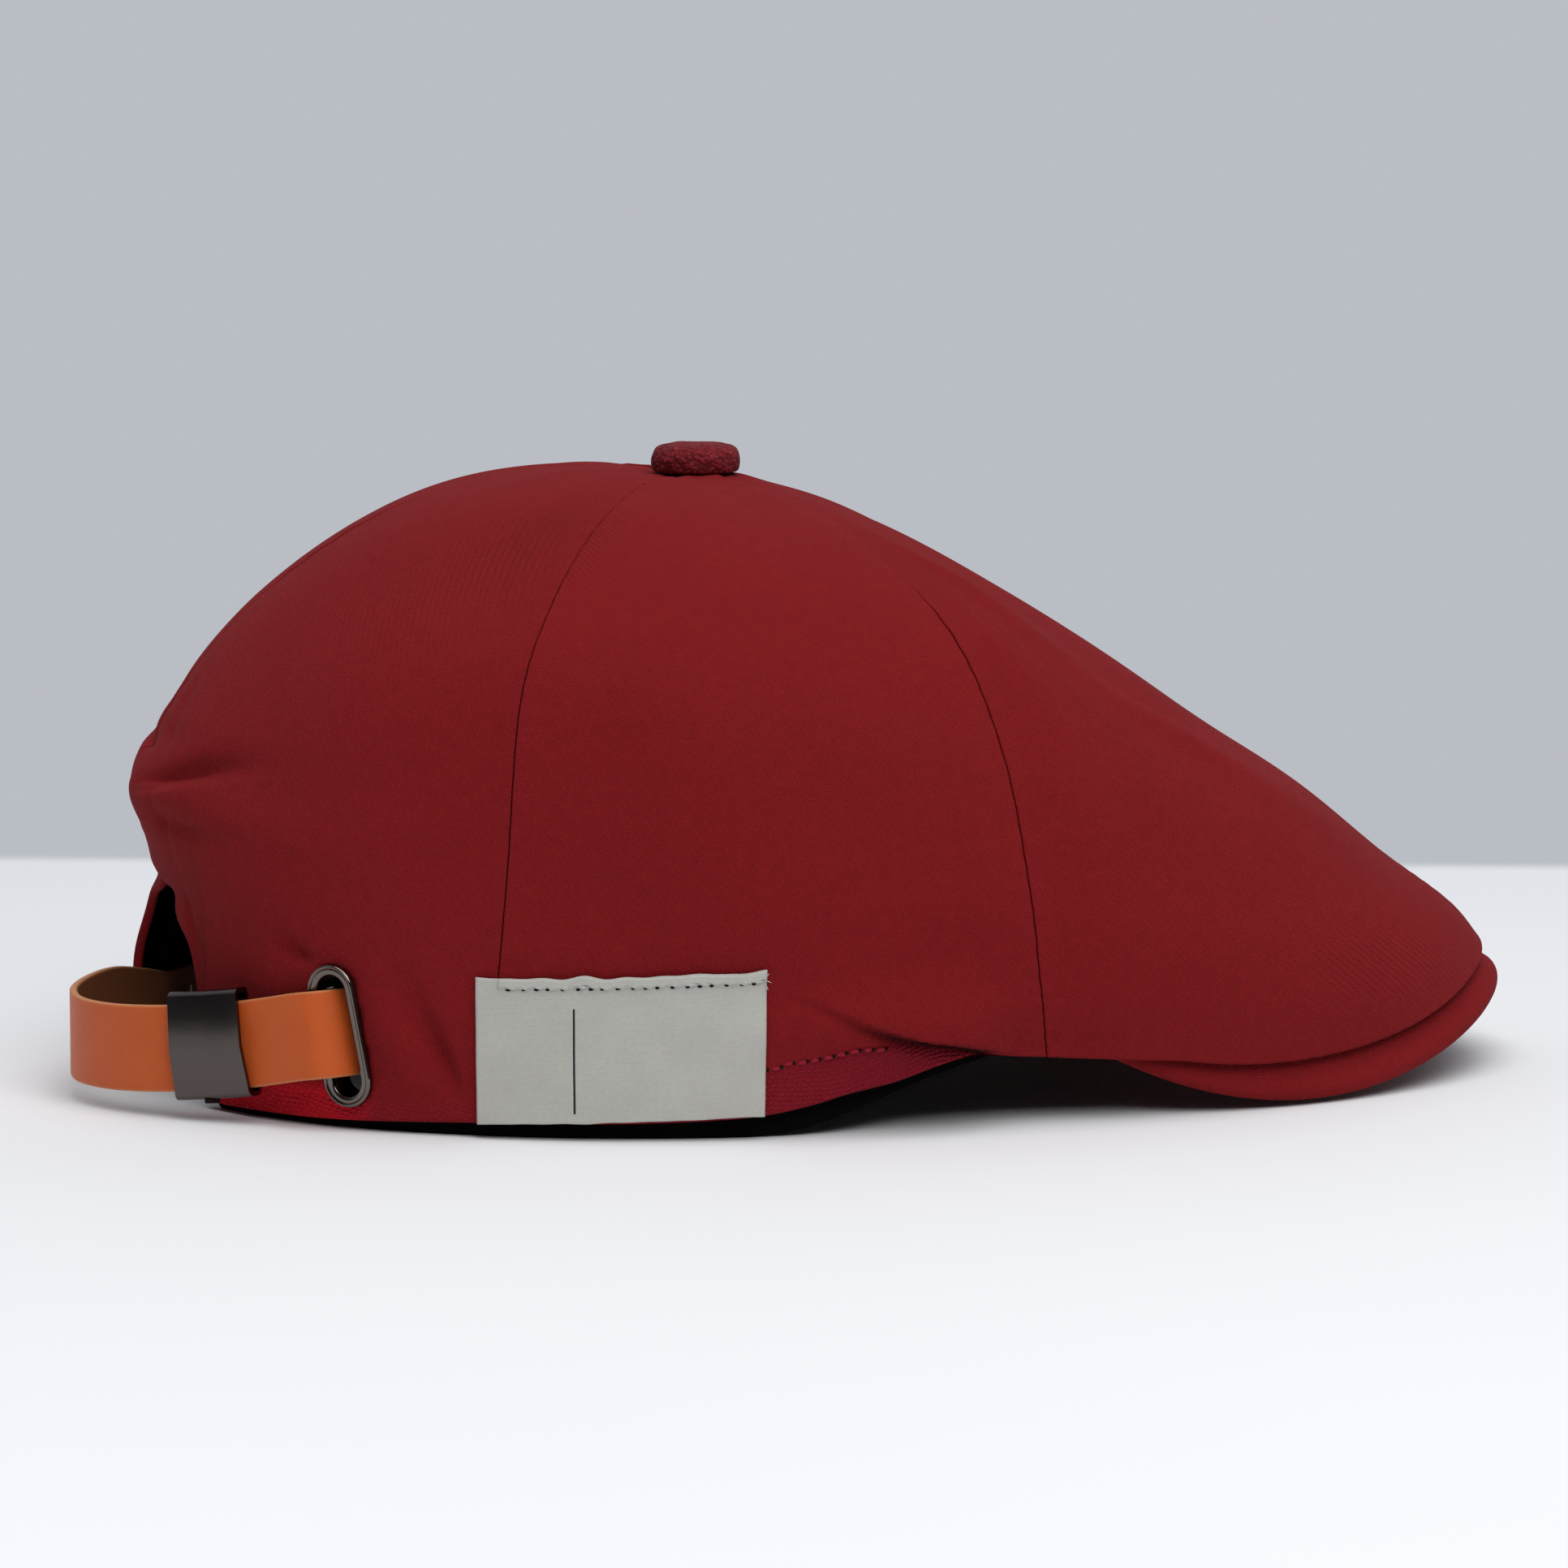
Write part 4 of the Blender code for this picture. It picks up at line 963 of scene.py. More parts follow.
def twill(name):
    """Cotton twill, piece dyed: matt, with diagonal wales and a soft nap that lightens at grazing angles.

    A real wale is about 0.45 mm and a rib of its cords about 1 mm; they are drawn at 0.62 mm and 1.35 mm
    so that they show. The hem strip has a coarse tape's weave. Besides the cloth's random tone, the colour
    is painted darker in the grooves of the weave and of the tape as shade. Below the strap a brighter red
    is painted as the light that the tan strap throws, and the slot under the temple fold is painted near
    black as shade."""
    made, tree = new_material(name)
    flat, turned, upright = (in_millimetres(tree, turn) for turn in (0.0, WALE_TURN, CORD_TURN))
    wales, threads, cord, tape_rib, tape_pick = (
        add(tree, "TexWave", {"Vector": grid, "Scale": BANDS / pitch, "Distortion": bend, "Detail": detail,
                              "Detail Scale": spread}, "Fac", bands_direction=bands)
        for grid, pitch, bend, detail, spread, bands in (
            (turned, WALE, 1.2, 2.0, 1.5, "X"),
            (turned, 0.7 * WALE, 1.5, 1.0, 1.0, "Y"),
            (upright, CORD, 1.6, 2.0, 0.6, "X"),
            (flat, 0.9, 3.5, 2.0, 1.0, "Y"),
            (turned, 1.2, 5.0, 2.0, 1.0, "X")))
    fibre, slub, cloud = (
        add(tree, "TexNoise", {"Vector": flat, "Scale": scale, "Detail": detail, "Roughness": rough}, "Fac")
        for scale, detail, rough in ((2.2, 3.0, 0.5), (0.35, 4.0, 0.65), (0.03, 3.0, 0.5)))
    ribs, strip, strap_glow, slot = (add(tree, "Attribute", {}, "Fac", attribute_name=share)
                                 for share in ("ribs", "strip", "strap_glow", "slot"))
    weave = add(tree, "Math", {0: wales, 1: threads}, operation="MULTIPLY")
    rough = add(tree, "Math", {0: fibre, 1: 0.55, 2: weave}, operation="MULTIPLY_ADD")
    fine = add(tree, "Math", {0: slub, 1: rough}, operation="ADD")
    shown = add(tree, "MapRange", {"Value": ribs, "To Max": 3.8})
    corded = add(tree, "Math", {0: cord, 1: shown, 2: fine}, operation="MULTIPLY_ADD")
    coarse = add(tree, "Math", {0: tape_rib, 1: tape_pick}, operation="MULTIPLY")
    raised = add(tree, "Math", {0: coarse, 1: strip}, operation="MULTIPLY")
    height = add(tree, "Math", {0: raised, 1: 5.0, 2: corded}, operation="MULTIPLY_ADD")
    tone = add(tree, "Mix", {0: cloud, 6: "#7a1519", 7: "#86191d"}, 2, data_type="RGBA")
    # grain: the cloth's random tone from slub and fibre, and painted shade that darkens the grooves of the
    # weave
    grain = add(tree, "MapRange", {"Value": fine, "From Min": 0.50, "From Max": 1.40, "To Min": 0.82,
                                   "To Max": 1.14})
    # tape: painted shade that darkens the grooves of the tape's weave
    tape = add(tree, "MapRange", {"Value": coarse, "From Max": 0.6, "To Min": 0.75, "To Max": 1.15})
    dye_and_painted_light, taped, glow_red = (
        add(tree, "Mix", {0: 1.0, 6: base, 7: shade}, 2, data_type="RGBA", blend_type="MULTIPLY")
        for base, shade in ((tone, grain), ("#921a2a", tape), ("#d61a2a", tape)))
    # Over it: the hem strip's own tape colour, a brighter red painted below the strap as the light that the
    # tan strap throws, and near black painted as shade in the slot under the temple fold.
    for share, over in ((strip, taped), (strap_glow, glow_red), (slot, "#120305")):
        dye_and_painted_light = add(tree, "Mix", {0: share, 6: dye_and_painted_light, 7: over}, 2, data_type="RGBA")
    return coat(made, tree, dye_and_painted_light, height, (0.8, 0.00017),
                {"Roughness": 0.9, "Specular IOR Level": 0.12, "Sheen Weight": 0.03, "Sheen Roughness": 0.5,
                 "Sheen Tint": "#d9706a"})


def nubby_twill():
    """Twill pulled tight over the button: its yarns stand up as nubs, painted darker between them as shade,
    with pale flecks.

    A real nub is about 0.6 mm; it is drawn at 0.9 mm so that it shows."""
    made, tree = new_material("burgundy_button_twill")
    source = add(tree, "TexCoord", {}, "Object")
    nubs = add(tree, "TexVoronoi", {"Vector": source, "Scale": 1000.0 / 0.9}, "Distance")
    flecks = add(tree, "TexNoise", {"Vector": source, "Scale": 1000.0 / 1.6, "Detail": 4.0,
                                    "Roughness": 0.7}, "Fac")
    top = add(tree, "MapRange", {"Value": nubs, "From Min": 0.1, "From Max": 0.75, "To Min": 1.0,
                                 "To Max": 0.0})
    pale = add(tree, "MapRange", {"Value": flecks, "From Min": 0.60, "From Max": 0.72, "To Max": 0.5})
    # Darker between the nubs is painted shade, and noise adds pale flecks.
    dye_and_painted_light = add(tree, "Mix", {0: top, 6: "#5c0e15", 7: "#8c202a"}, 2, data_type="RGBA")
    flecked = add(tree, "Mix", {0: pale, 6: dye_and_painted_light, 7: "#b8575c"}, 2, data_type="RGBA")
    height = add(tree, "Math", {0: flecks, 1: 1.5, 2: top}, operation="MULTIPLY_ADD")
    return coat(made, tree, flecked, height, (1.0, 0.00030), {"Roughness": 0.8, "Specular IOR Level": 0.2})


def plain_weave(name, dark, light):
    """Plain woven cotton: matt, threads over and under each other, a thread each 0.5 mm."""
    made, tree = new_material(name)
    flat = in_millimetres(tree)
    warp, weft = (add(tree, "TexWave", {"Vector": flat, "Scale": BANDS / 0.5, "Distortion": 0.8}, "Fac",
                      bands_direction=bands) for bands in "XY")
    fibre = add(tree, "TexNoise", {"Vector": flat, "Scale": 1.5, "Detail": 3.0}, "Fac")
    weave = add(tree, "Math", {0: warp, 1: weft}, operation="ADD")
    height = add(tree, "Math", {0: fibre, 1: weave}, operation="ADD")
    # The colour is lighter on the raised threads and darker between them: painted shade in the weave.
    tone = add(tree, "MapRange", {"Value": height, "From Min": 0.6, "From Max": 2.2})
    dye_and_painted_light = add(tree, "Mix", {0: tone, 6: dark, 7: light}, 2, data_type="RGBA")
    return coat(made, tree, dye_and_painted_light, height, (0.7, 0.00008), {"Roughness": 0.95, "Specular IOR Level": 0.05})


def strap_leather(name, dark, light, rim):
    """Vegetable tanned cowhide, smooth side out: fine pores, a low waxed gloss, paler burnished edges."""
    made, tree = new_material(name)
    flat = in_millimetres(tree)
    pores = add(tree, "TexVoronoi", {"Vector": flat, "Scale": 2.2, "Randomness": 1.0}, "Distance")
    cloud = add(tree, "TexNoise", {"Vector": flat, "Scale": 0.12, "Detail": 4.0}, "Fac")
    edge = add(tree, "Attribute", {}, "Fac", attribute_name="edge")
    tone = add(tree, "Mix", {0: cloud, 6: dark, 7: light}, 2, data_type="RGBA")
    burnished = add(tree, "Mix", {0: edge, 6: tone, 7: rim}, 2, data_type="RGBA")
    return coat(made, tree, burnished, pores, (0.35, 0.00005),
                {"Roughness": 0.5, "Specular IOR Level": 0.3})


def gunmetal(name, tone, smooth_low, smooth_high, drawn, relief):
    """Zinc alloy plated gunmetal: dark, satin, with the fine brushing of its polish."""
    made, tree = new_material(name)
    place = add(tree, "Mapping", {"Vector": add(tree, "TexCoord", {}, "Object"), "Scale": drawn})
    brush = add(tree, "TexNoise", {"Vector": place, "Scale": 1.0, "Detail": 3.0}, "Fac")
    gloss = add(tree, "MapRange", {"Value": brush, "To Min": smooth_low, "To Max": smooth_high})
    return coat(made, tree, tone, brush, (relief, 0.00001), {"Metallic": 1.0, "Roughness": gloss})


def sewing_thread(name, tone):
    """Spun polyester sewing thread: slightly glossy, twisted."""
    made, tree = new_material(name)
    source = add(tree, "TexCoord", {}, "Object")
    twist = add(tree, "TexWave", {"Vector": source, "Scale": BANDS / 0.0004, "Distortion": 1.0}, "Fac",
                bands_direction="DIAGONAL")
    shaded = add(tree, "Mix", {0: twist, 6: "#000000", 7: tone}, 2, data_type="RGBA")
    full = add(tree, "Mix", {0: 0.75, 6: shaded, 7: tone}, 2, data_type="RGBA")
    return coat(made, tree, full, twist, (0.4, 0.00004), {"Roughness": 0.7, "Specular IOR Level": 0.15})


def woven_label():
    """Woven polyester satin: smooth, pale grey, fine weft ribs and one dark dividing line woven in."""
    made, tree = new_material("grey_woven_polyester")
    flat = in_millimetres(tree)
    weft = add(tree, "TexWave", {"Vector": flat, "Scale": BANDS / 0.42, "Distortion": 0.6}, "Fac",
               bands_direction="Y")
    fibre, cloud = (add(tree, "TexNoise", {"Vector": flat, "Scale": scale, "Detail": detail}, "Fac")
                    for scale, detail in ((1.2, 3.0), (0.09, 2.0)))
    tone = add(tree, "Mix", {0: cloud, 6: "#b5b4ad", 7: "#c2c1ba"}, 2, data_type="RGBA")
    grain = add(tree, "MapRange", {"Value": fibre, "From Min": 0.3, "From Max": 0.7, "To Min": 0.95,
                                   "To Max": 1.03})
    ground = add(tree, "Mix", {0: 1.0, 6: tone, 7: grain}, 2, data_type="RGBA", blend_type="MULTIPLY")
    source = add(tree, "UVMap", {}, uv_map="cloth")
    beside, level = (
        add(tree, "Math", {0: add(tree, "SeparateXYZ", {0: source}, axis), 1: middle, 2: half},
            operation="COMPARE")
        for axis, middle, half in (
            ("X", (LABEL_LINE - 0.5) * LABEL_LENGTH, LABEL_LINE_WIDE / 2),
            ("Y", (LABEL_LINE_LOW + LABEL_LINE_HIGH) / 2 * LABEL_HEIGHT,
             (LABEL_LINE_HIGH - LABEL_LINE_LOW) / 2 * LABEL_HEIGHT)))
    line = add(tree, "Math", {0: beside, 1: level}, operation="MULTIPLY")
    lined = add(tree, "Mix", {0: line, 6: ground, 7: "#25262a"}, 2, data_type="RGBA")
    height = add(tree, "Math", {0: weft, 1: fibre}, operation="ADD")
    return coat(made, tree, lined, height, (0.5, 0.00004), {"Roughness": 0.7, "Specular IOR Level": 0.3})


def table_top():
    """Matt white laminate, slightly mottled, that turns into the wall's colour beyond a line."""
    made, tree = new_material("white_table")
    shader = tree.nodes["Principled BSDF"]
    source = add(tree, "TexCoord", {}, "Object")
    mottle = add(tree, "TexNoise", {"Vector": source, "Scale": 3.0, "Detail": 2.0}, "Fac")
    tone = add(tree, "Mix", {0: mottle, 6: "#eeeff1", 7: "#f4f5f7"}, 2, data_type="RGBA")
    set_inputs(tree, shader, {"Base Color": tone, "Roughness": 0.8})
    across, along = (add(tree, "SeparateXYZ", {0: source}, axis) for axis in "XY")
    line = add(tree, "Math", {0: across, 1: TABLE_TURN, 2: along}, operation="MULTIPLY_ADD")
    beyond = add(tree, "MapRange", {"Value": line, "From Min": TABLE_END - TABLE_FADE,
                                    "From Max": TABLE_END}, interpolation_type="SMOOTHSTEP")
    wall = add(tree, "Emission", {"Color": WALL})
    both = add(tree, "MixShader", {0: beyond, 1: shader.outputs[0], 2: wall})
    set_inputs(tree, tree.nodes["Material Output"], {"Surface": both})
    return made


# Pieces

def seam_relief(theta, t, start, end, radius):
    """Rolls, gathers and the seam allowance along both seams of a panel, outwards."""
    front = start if abs(start) < abs(end) else end
    out = 0 * theta
    for seam in (start, end):
        distance = np.abs(np.radians(theta - seam)) * radius
        open_share = seam_share(seam, t)
        along = t * PANEL_LENGTH
        shift = 2.0 * waves(along, 0 * along, 0.03, abs(seam))
        gather = np.sin(along * 2 * math.pi / PUCKER_LENGTH + shift)
        out = out + PUCKER * gather * np.exp(-distance / PUCKER_REACH)
        out = out - open_share * roll(distance, SEAM_ROLL)
        if seam != front and abs(seam) != 180.0:
            step = 1 - ramp(ALLOWANCE - ALLOWANCE_SOFT[0], ALLOWANCE + ALLOWANCE_SOFT[1], distance)
            out = out + open_share * ALLOWANCE_STEP * step * (1 - ALLOWANCE_LOSS * ramp(*ALLOWANCE_WEAK, t))
    return out


def seam_share(seam, t):
    """How open a seam is: the two in front lie pressed flat near the button."""
    return ramp(*PRESSED, t) if abs(seam) == 60.0 else 1 + 0 * t


def crown_panel(node, start, end, materials):
    """One crown panel: twill outside, lining inside, a roll at each seam and a folded lower edge."""
    def place(u, v, w):
        share = crowd(u, EVEN_OUT, 2 if 180.0 in (abs(start), abs(end)) else 1)
        theta = panel_bearing(start, end, share)
        hole = once_each(lambda b: crown_at_radius(b, BUTTON_HOLE), theta)
        last = once_each(crown_end, theta)
        wave = waves(theta, 0 * theta, OPENING_WAVE_LENGTH, 2.0)
        last = last - OPENING_WAVE * ramp(*OPENING_CUT, last) * wave
        upper = hole + (MIDDLE_ROW - hole) * np.minimum(2 * v, 1.0)
        t = upper + (last - MIDDLE_ROW) * (1 - np.minimum(2 - 2 * v, 1.0) ** ROW_BIAS)
        radius = axis_distance(crown_face(theta, t))
        gap = SEAM_GAP * ((1 - share) * seam_share(start, t) - share * seam_share(end, t)) * (w < 0.5)
        theta = theta + np.degrees(gap / 2 / radius)
        face = crown_face(theta, t)
        bearing, height = bearing_of(face), face[:, 2]
        relief = seam_relief(theta, t, start, end, radius) + creases(bearing, height)
        relief = relief + temple_fold(bearing, height) * (w < 0.5)
        along, down = theta * UNEVEN_SCALE[0], t * UNEVEN_SCALE[1]
        relief = relief + UNEVEN * waves(along, down, UNEVEN_LENGTH, 3.0)
        to_edge = np.linalg.norm(face - crown_face(theta, last), axis=1)
        hem = roll(to_edge, HEM_ROLL)
        out = np.where(w < 0.5, relief - hem, np.minimum(relief, 0.0) - CROWN_CLOTH + hem)
        points = off_crown(theta, t, out)
        points[:, 2] -= temple_sag(bearing, height) * (w < 0.5)
        return points

    piece = slab(node + "_cloth", PANEL_FACETS, place, materials, inner=1, turned=TURNED_IN)
    points = values_of(piece.data.vertices, "co", 3)
    # These masks include the brighter red painted below the strap as its thrown light, and the near black
    # painted as shade in the slot under the temple fold.
    for name, share in (("strip", strip_share), ("strap_glow", strap_glow_share), ("ribs", rib_share),
                        ("slot", temple_shade)):
        add_point_value(piece, name, share(bearing_of(points), points[:, 2]))
    return stand_for(piece, node)


def bearing_of(points):
    """Bearing of points round the button's axis."""
    return np.degrees(np.arctan2(-points[:, 1], points[:, 0] - HEAD_X))


def open_hole(piece):
    """Cut the eyelet's hole through a wall and close the cut's edge."""
    half = EYELET_WIDE / 2 - EYELET_RIM
    reach = EYELET_TUBE + GAP + HOLE_PLAY / 2
    axes = eyelet_place(np.array([0.0, 1.0, 0.0]), np.array([0.0, 0.0, 1.0]), np.zeros(3))
    middle, wide, long = axes[0], axes[1] - axes[0], axes[2] - axes[0]
    offset = values_of(piece.data.polygons, "center", 3) - middle
    straight = EYELET_LONG / 2 - EYELET_RIM - half
    across, up = np.abs(offset @ wide), np.maximum(np.abs(offset @ long) - straight, 0.0)
    inside = (np.hypot(across, up) < half + reach) & (np.linalg.norm(offset, axis=1) < HOLE_NEAR)
    bm = bmesh.new()
    bm.from_mesh(piece.data)
    bm.faces.ensure_lookup_table()
    cut = [bm.faces[i] for i in np.flatnonzero(inside)]
    bmesh.ops.delete(bm, geom=cut, context="FACES")
    bmesh.ops.bridge_loops(bm, edges=[edge for edge in bm.edges if edge.is_boundary])
    face_out(bm)
    bm.to_mesh(piece.data)
    bm.free()


def sweatband(cloth):
    """The black band inside the crown."""
    ends = [side * end_bearing(side) for side in (-1, 1)]

    def place(u, v, w):
        bearing = ends[0] + (ends[1] - ends[0]) * u
        front = np.clip(np.cos(np.radians(bearing)), 0.0, 1.0) ** 0.5
        height = SWEATBAND_HEIGHT * (1 - (1 - SWEATBAND_FRONT) * front)
        z = read_edge(bearing, "band_bearing", "band_height") + v * height
        hem = roll(np.minimum(v, 1 - v) * height, RIM_ROLL * SWEATBAND_CLOTH)
        wall = np.where(w < 0.5, hem, SWEATBAND_CLOTH - hem)
        return at_bearing(bearing, head_radius(bearing, z) - v * SWEATBAND_LEAN - wall, z)

    piece = slab("sweatband_cloth", SWEATBAND_FACETS, place, [cloth])
    open_hole(piece)
    return stand_for(piece, "sweatband")


def end_bearing(side):
    """Bearing of the sweatband's end on one side, just outside the back opening."""
    def outside(b):
        return head_radius(side * b) * np.sin(np.radians(b)) > OPENING_HALF_WIDTH + CROWN_CLOTH / 2
    return float(halve(np.array([90.0]), np.array([180.0]), outside)[0])


def peak(cloth):
    """The stiff peak, its rim rounded by the cloth that wraps it."""
    def place(u, v, w):
        bearing = PEAK_CORNER * (2 * u - 1)
        root = head_radius(bearing) + GAP
        share = 1 - (1 - v) ** 1.4
        radius = root + (rim_radius(bearing) - root) * share
        hem = roll((1 - share) * (rim_radius(bearing) - root), RIM_ROLL * PEAK_CLOTH)
        return peak_face(bearing, radius, np.where(w < 0.5, hem, PEAK_CLOTH - hem))

    return stand_for(slab("peak_cloth", PEAK_FACETS, place, [cloth]), "peak")


def button(cloth):
    """The button: twill pulled over a disc."""
    radii = BUTTON_RADIUS * BUTTON_TABLE["radius"]
    heights = CROWN_HEIGHT + GAP + BUTTON_HEIGHT * BUTTON_TABLE["height"]
    bm = bmesh.new()
    verts = [bm.verts.new((HEAD_X + r, 0.0, z)) for r, z in zip(radii, heights)]
    edges = [bm.edges.new(pair) for pair in zip(verts, verts[1:])]
    bmesh.ops.spin(bm, geom=verts + edges, cent=(HEAD_X, 0.0, 0.0), axis=(0, 0, 1), dvec=(0, 0, 0),
                   angle=2 * math.pi, steps=72, use_merge=True, use_duplicate=False)
    bmesh.ops.remove_doubles(bm, verts=bm.verts[:], dist=1e-6)
    bmesh.ops.holes_fill(bm, edges=bm.edges[:], sides=0)
    for vert in bm.verts:
        arm = vert.co - Vector((HEAD_X, 0.0, CROWN_HEIGHT))
        slant = np.array([arm.x + arm.z]), np.array([arm.y + arm.z])
        uneven = waves(*slant, BUTTON_UNEVEN_LENGTH, 4.0)[0]
        vert.co += arm.normalized() * BUTTON_UNEVEN * uneven
    piece = finish("button_cloth", bm, [cloth])
    modifier = piece.modifiers.new("smooth", "SUBSURF")
    modifier.levels = modifier.render_levels = 1
    return stand_for(piece, "button")


def label_point(u, v, lift):
    """A point over the label's ground: u from its front edge to its back edge, v upwards."""
    bearing = LABEL_START + (LABEL_END - LABEL_START) * u
    return over_crown(bearing, LABEL_LOW + LABEL_HEIGHT * v + LABEL_TILT * (0.5 - u), lift)


def label_lift(u, v):
    """How far the label's face stands over the cloth."""
    from_top = (1 - v) * LABEL_HEIGHT + 0.00018 * np.sin(u * LABEL_LENGTH * 2 * math.pi / LABEL_STITCH)
    hem = 1 - ramp(LABEL_HEM - 0.0004, LABEL_HEM, from_top)
    hem = hem * (1 - ramp(LABEL_HEM_START - 0.01, LABEL_HEM_START, u))
    edge = np.minimum(np.minimum(u, 1 - u) * LABEL_LENGTH, np.minimum(v, 1 - v) * LABEL_HEIGHT)
    ripple = LABEL_RIPPLE * waves(u * LABEL_LENGTH, v * LABEL_HEIGHT, 0.011, 7.0)
    return GAP + LABEL_CLOTH + LABEL_HEM_STEP * hem + ripple - roll(edge, LABEL_ROUND)


def label(cloth, yarn, shade):
    """The woven label over the seam: its top edge folded and sewn down."""
    def place(u, v, w):
        share = crowd(v, 0.6)
        wave = LABEL_WAVE / LABEL_HEIGHT * waves(u * LABEL_LENGTH, 0 * u, 0.009, 5.0)
        tall = share * (1 + wave) + wave * (share - 0.4)
        lift = np.where(w < 0.5, label_lift(u, share), GAP + LABEL_BACK)
        return label_point(u, tall, lift)

    def beside_fold(below, over):
        def way(u):
            v = 1 - (LABEL_HEM + below) / LABEL_HEIGHT + 0 * u
            return label_point(u, v, label_lift(u, v) + over)
        return way

    piece = slab("label_cloth", LABEL_FACETS, place, [cloth])
    pitch = LABEL_STITCH / LABEL_LENGTH
    starts = np.arange(0.01, LABEL_HEM_START - 0.6 * pitch, pitch)
    starts = starts + 0.12 * pitch * np.sin(4.7 * np.arange(len(starts)))
    stitches("label_stitches", beside_fold(*LABEL_SEWN), starts, LABEL_STITCH_SHARE * pitch, LABEL_THREAD,
             yarn)
    # Dark marks below the fold's edge, between the stitches, are painted shade in the gaps under the fold.
    stitches("label_stitch_shade", beside_fold(*LABEL_SHADED), starts + LABEL_SHADE_PLACE * pitch,
             LABEL_SHADE_SHARE * pitch, LABEL_SHADE, shade)

    def loose(end):
        """The start or the tip of each loose thread."""
        k = np.arange(len(end))
        tip = (end > 0.5) * 1.0
        u = FRAY_START[0] + FRAY_SPREAD[0] * np.sin(2.4 * k) ** 2
        v = FRAY_START[1] - FRAY_SPREAD[1] * np.sin(1.7 * k) ** 2
        u = u - tip * (FRAY_RUN + FRAY_RUN * np.sin(5.1 * k))
        v = v + tip * FRAY_SLANT * np.sin(4.3 * k + 1.0)
        return label_point(u, v, GAP + LABEL_CLOTH + 0.0002 * tip + 0 * v)

    stitches("label_fray", loose, np.zeros(FRAY_COUNT), 1.0, LABEL_FRAY, yarn)
    return stand_for(piece, "label")


def stitches(name, way, starts, share, thick, yarn):
    """A row of stitches: way(u) gives points, each stitch runs from a start over a share of the way."""
    bm = bmesh.new()
    uneven = 0.22 * share * np.sin(3.1 * np.arange(len(starts)))
    for a, b in zip(way(starts + uneven), way(starts + share)):
        size = Matrix.Diagonal((thick, thick, Vector(b - a).length / 2, 1.0))
        bmesh.ops.create_uvsphere(bm, u_segments=8, v_segments=6, radius=1.0, matrix=between(a, b) @ size)
    piece = finish(name, bm, [yarn])


def hem_stitches(tag, side, yarn, shade):
    """The stitches that hold the hem strip, in front of the label and opposite on the other side."""
    run = STITCH_LAST - STITCH_FIRST
    count = int(np.radians(run) * HEAD_HALF_WIDTH * 1.05 / STITCH_PITCH)

    def way(u):
        bearing = side * (STITCH_FIRST + run * u)
        wander = STITCH_WANDER * np.sin(u * 41.0 + 3.0 * np.sin(u * 17.0))
        height = TEMPLE_RISE * temple(bearing, "strip") + wander
        lift = temple_fold(bearing, height) + creases(bearing, height) + STITCH_LIFT
        return over_crown(bearing, height, lift)

    starts = np.arange(count) / count
    stitches("hem_stitches_" + tag, way, starts, STITCH_LENGTH / STITCH_PITCH / count, STITCH_THICK, yarn)
    # Dark marks just before each stitch are painted shade in the gaps between the stitches.
    stitches("hem_stitch_shade_" + tag, way, starts - 0.24 / count, 0.26 / count, 0.9 * STITCH_THICK,
             shade)


def strap_way(distance, across=0.0, up=0.0):
    """Points along the strap, at distances from its right end, across its leather and up its width."""
    bearing = STRAP_TABLE["bearing"]
    out = STRAP_REACH * STRAP_TABLE["out"]
    height = STRAP_HEIGHT * STRAP_TABLE["height"]
    rows = at_bearing(bearing, head_radius(bearing, height + STRAP_WIDTH / 2) + out, height)
    along = np.append(0.0, np.cumsum(np.linalg.norm(np.diff(rows[:, :2], axis=0), axis=1)))

    def middle(distance):
        return np.stack([smooth_way(along, rows[:, axis], distance) for axis in range(3)], axis=-1)

    near = 0.0002
    ahead = unit(middle(distance + near) - middle(distance - near))
    lean = np.radians(EYELET_LEAN * smooth_way(along, STRAP_TABLE["lean"], distance))
    a = math.radians(EYELET_BEARING)
    back = np.array([-math.sin(a), -math.cos(a), 0.0])
    top = np.cos(lean)[:, None] * (0, 0, 1) + np.sin(lean)[:, None] * back
    outwards = unit(np.cross(top, ahead))
    top = np.cross(ahead, outwards)
    return middle(distance) + (across * outwards.T + up * top.T).T


def smooth_way(xs, ys, x):
    """A smooth curve through the points (xs, ys), carried on straight beyond its ends."""
    first, last = xs[0] - (xs[1] - xs[0]), xs[-1] + (xs[-1] - xs[-2])
    xs = np.concatenate([[first], xs, [last]])
    ys = np.concatenate([[2 * ys[0] - ys[1]], ys, [2 * ys[-1] - ys[-2]]])
    return smooth(xs, ys, x)


def strap_length(bearing):
    """Distance along the strap from its right end to a bearing."""
    def before(distance):
        return bearing_of(strap_way(distance)) % 360.0 < bearing
    return float(halve(np.array([0.0]), np.array([2 * HEAD_HALF_LENGTH]), before)[0])


def strap(leather, flesh):
    """The strap, with its edges rounded and burnished."""
    end = strap_length(STRAP_TABLE["bearing"][-1] - 0.05)

    def place(u, v, w):
        share = crowd(v, 0.9)
        edge = np.minimum(share, 1 - share) * STRAP_WIDTH
        half = STRAP_LEATHER / 2 - roll(edge, STRAP_ROUND)
        return strap_way(end * u, np.where(w < 0.5, half, -half), (share - 0.5) * STRAP_WIDTH)

    piece = slab("strap_leather", STRAP_FACETS, place, [leather, flesh], inner=1)
    corners = values_of(piece.data.loops, "vertex_index", kind=np.int32)
    down = np.zeros(len(piece.data.vertices))
    down[corners] = values_of(piece.data.uv_layers["cloth"].data, "uv", 2, np.float32)[:, 1]
    side = np.minimum(down, down.max() - down)
    add_point_value(piece, "edge", 1 - ramp(*BURNISHED, side))
    return stand_for(piece, "strap")


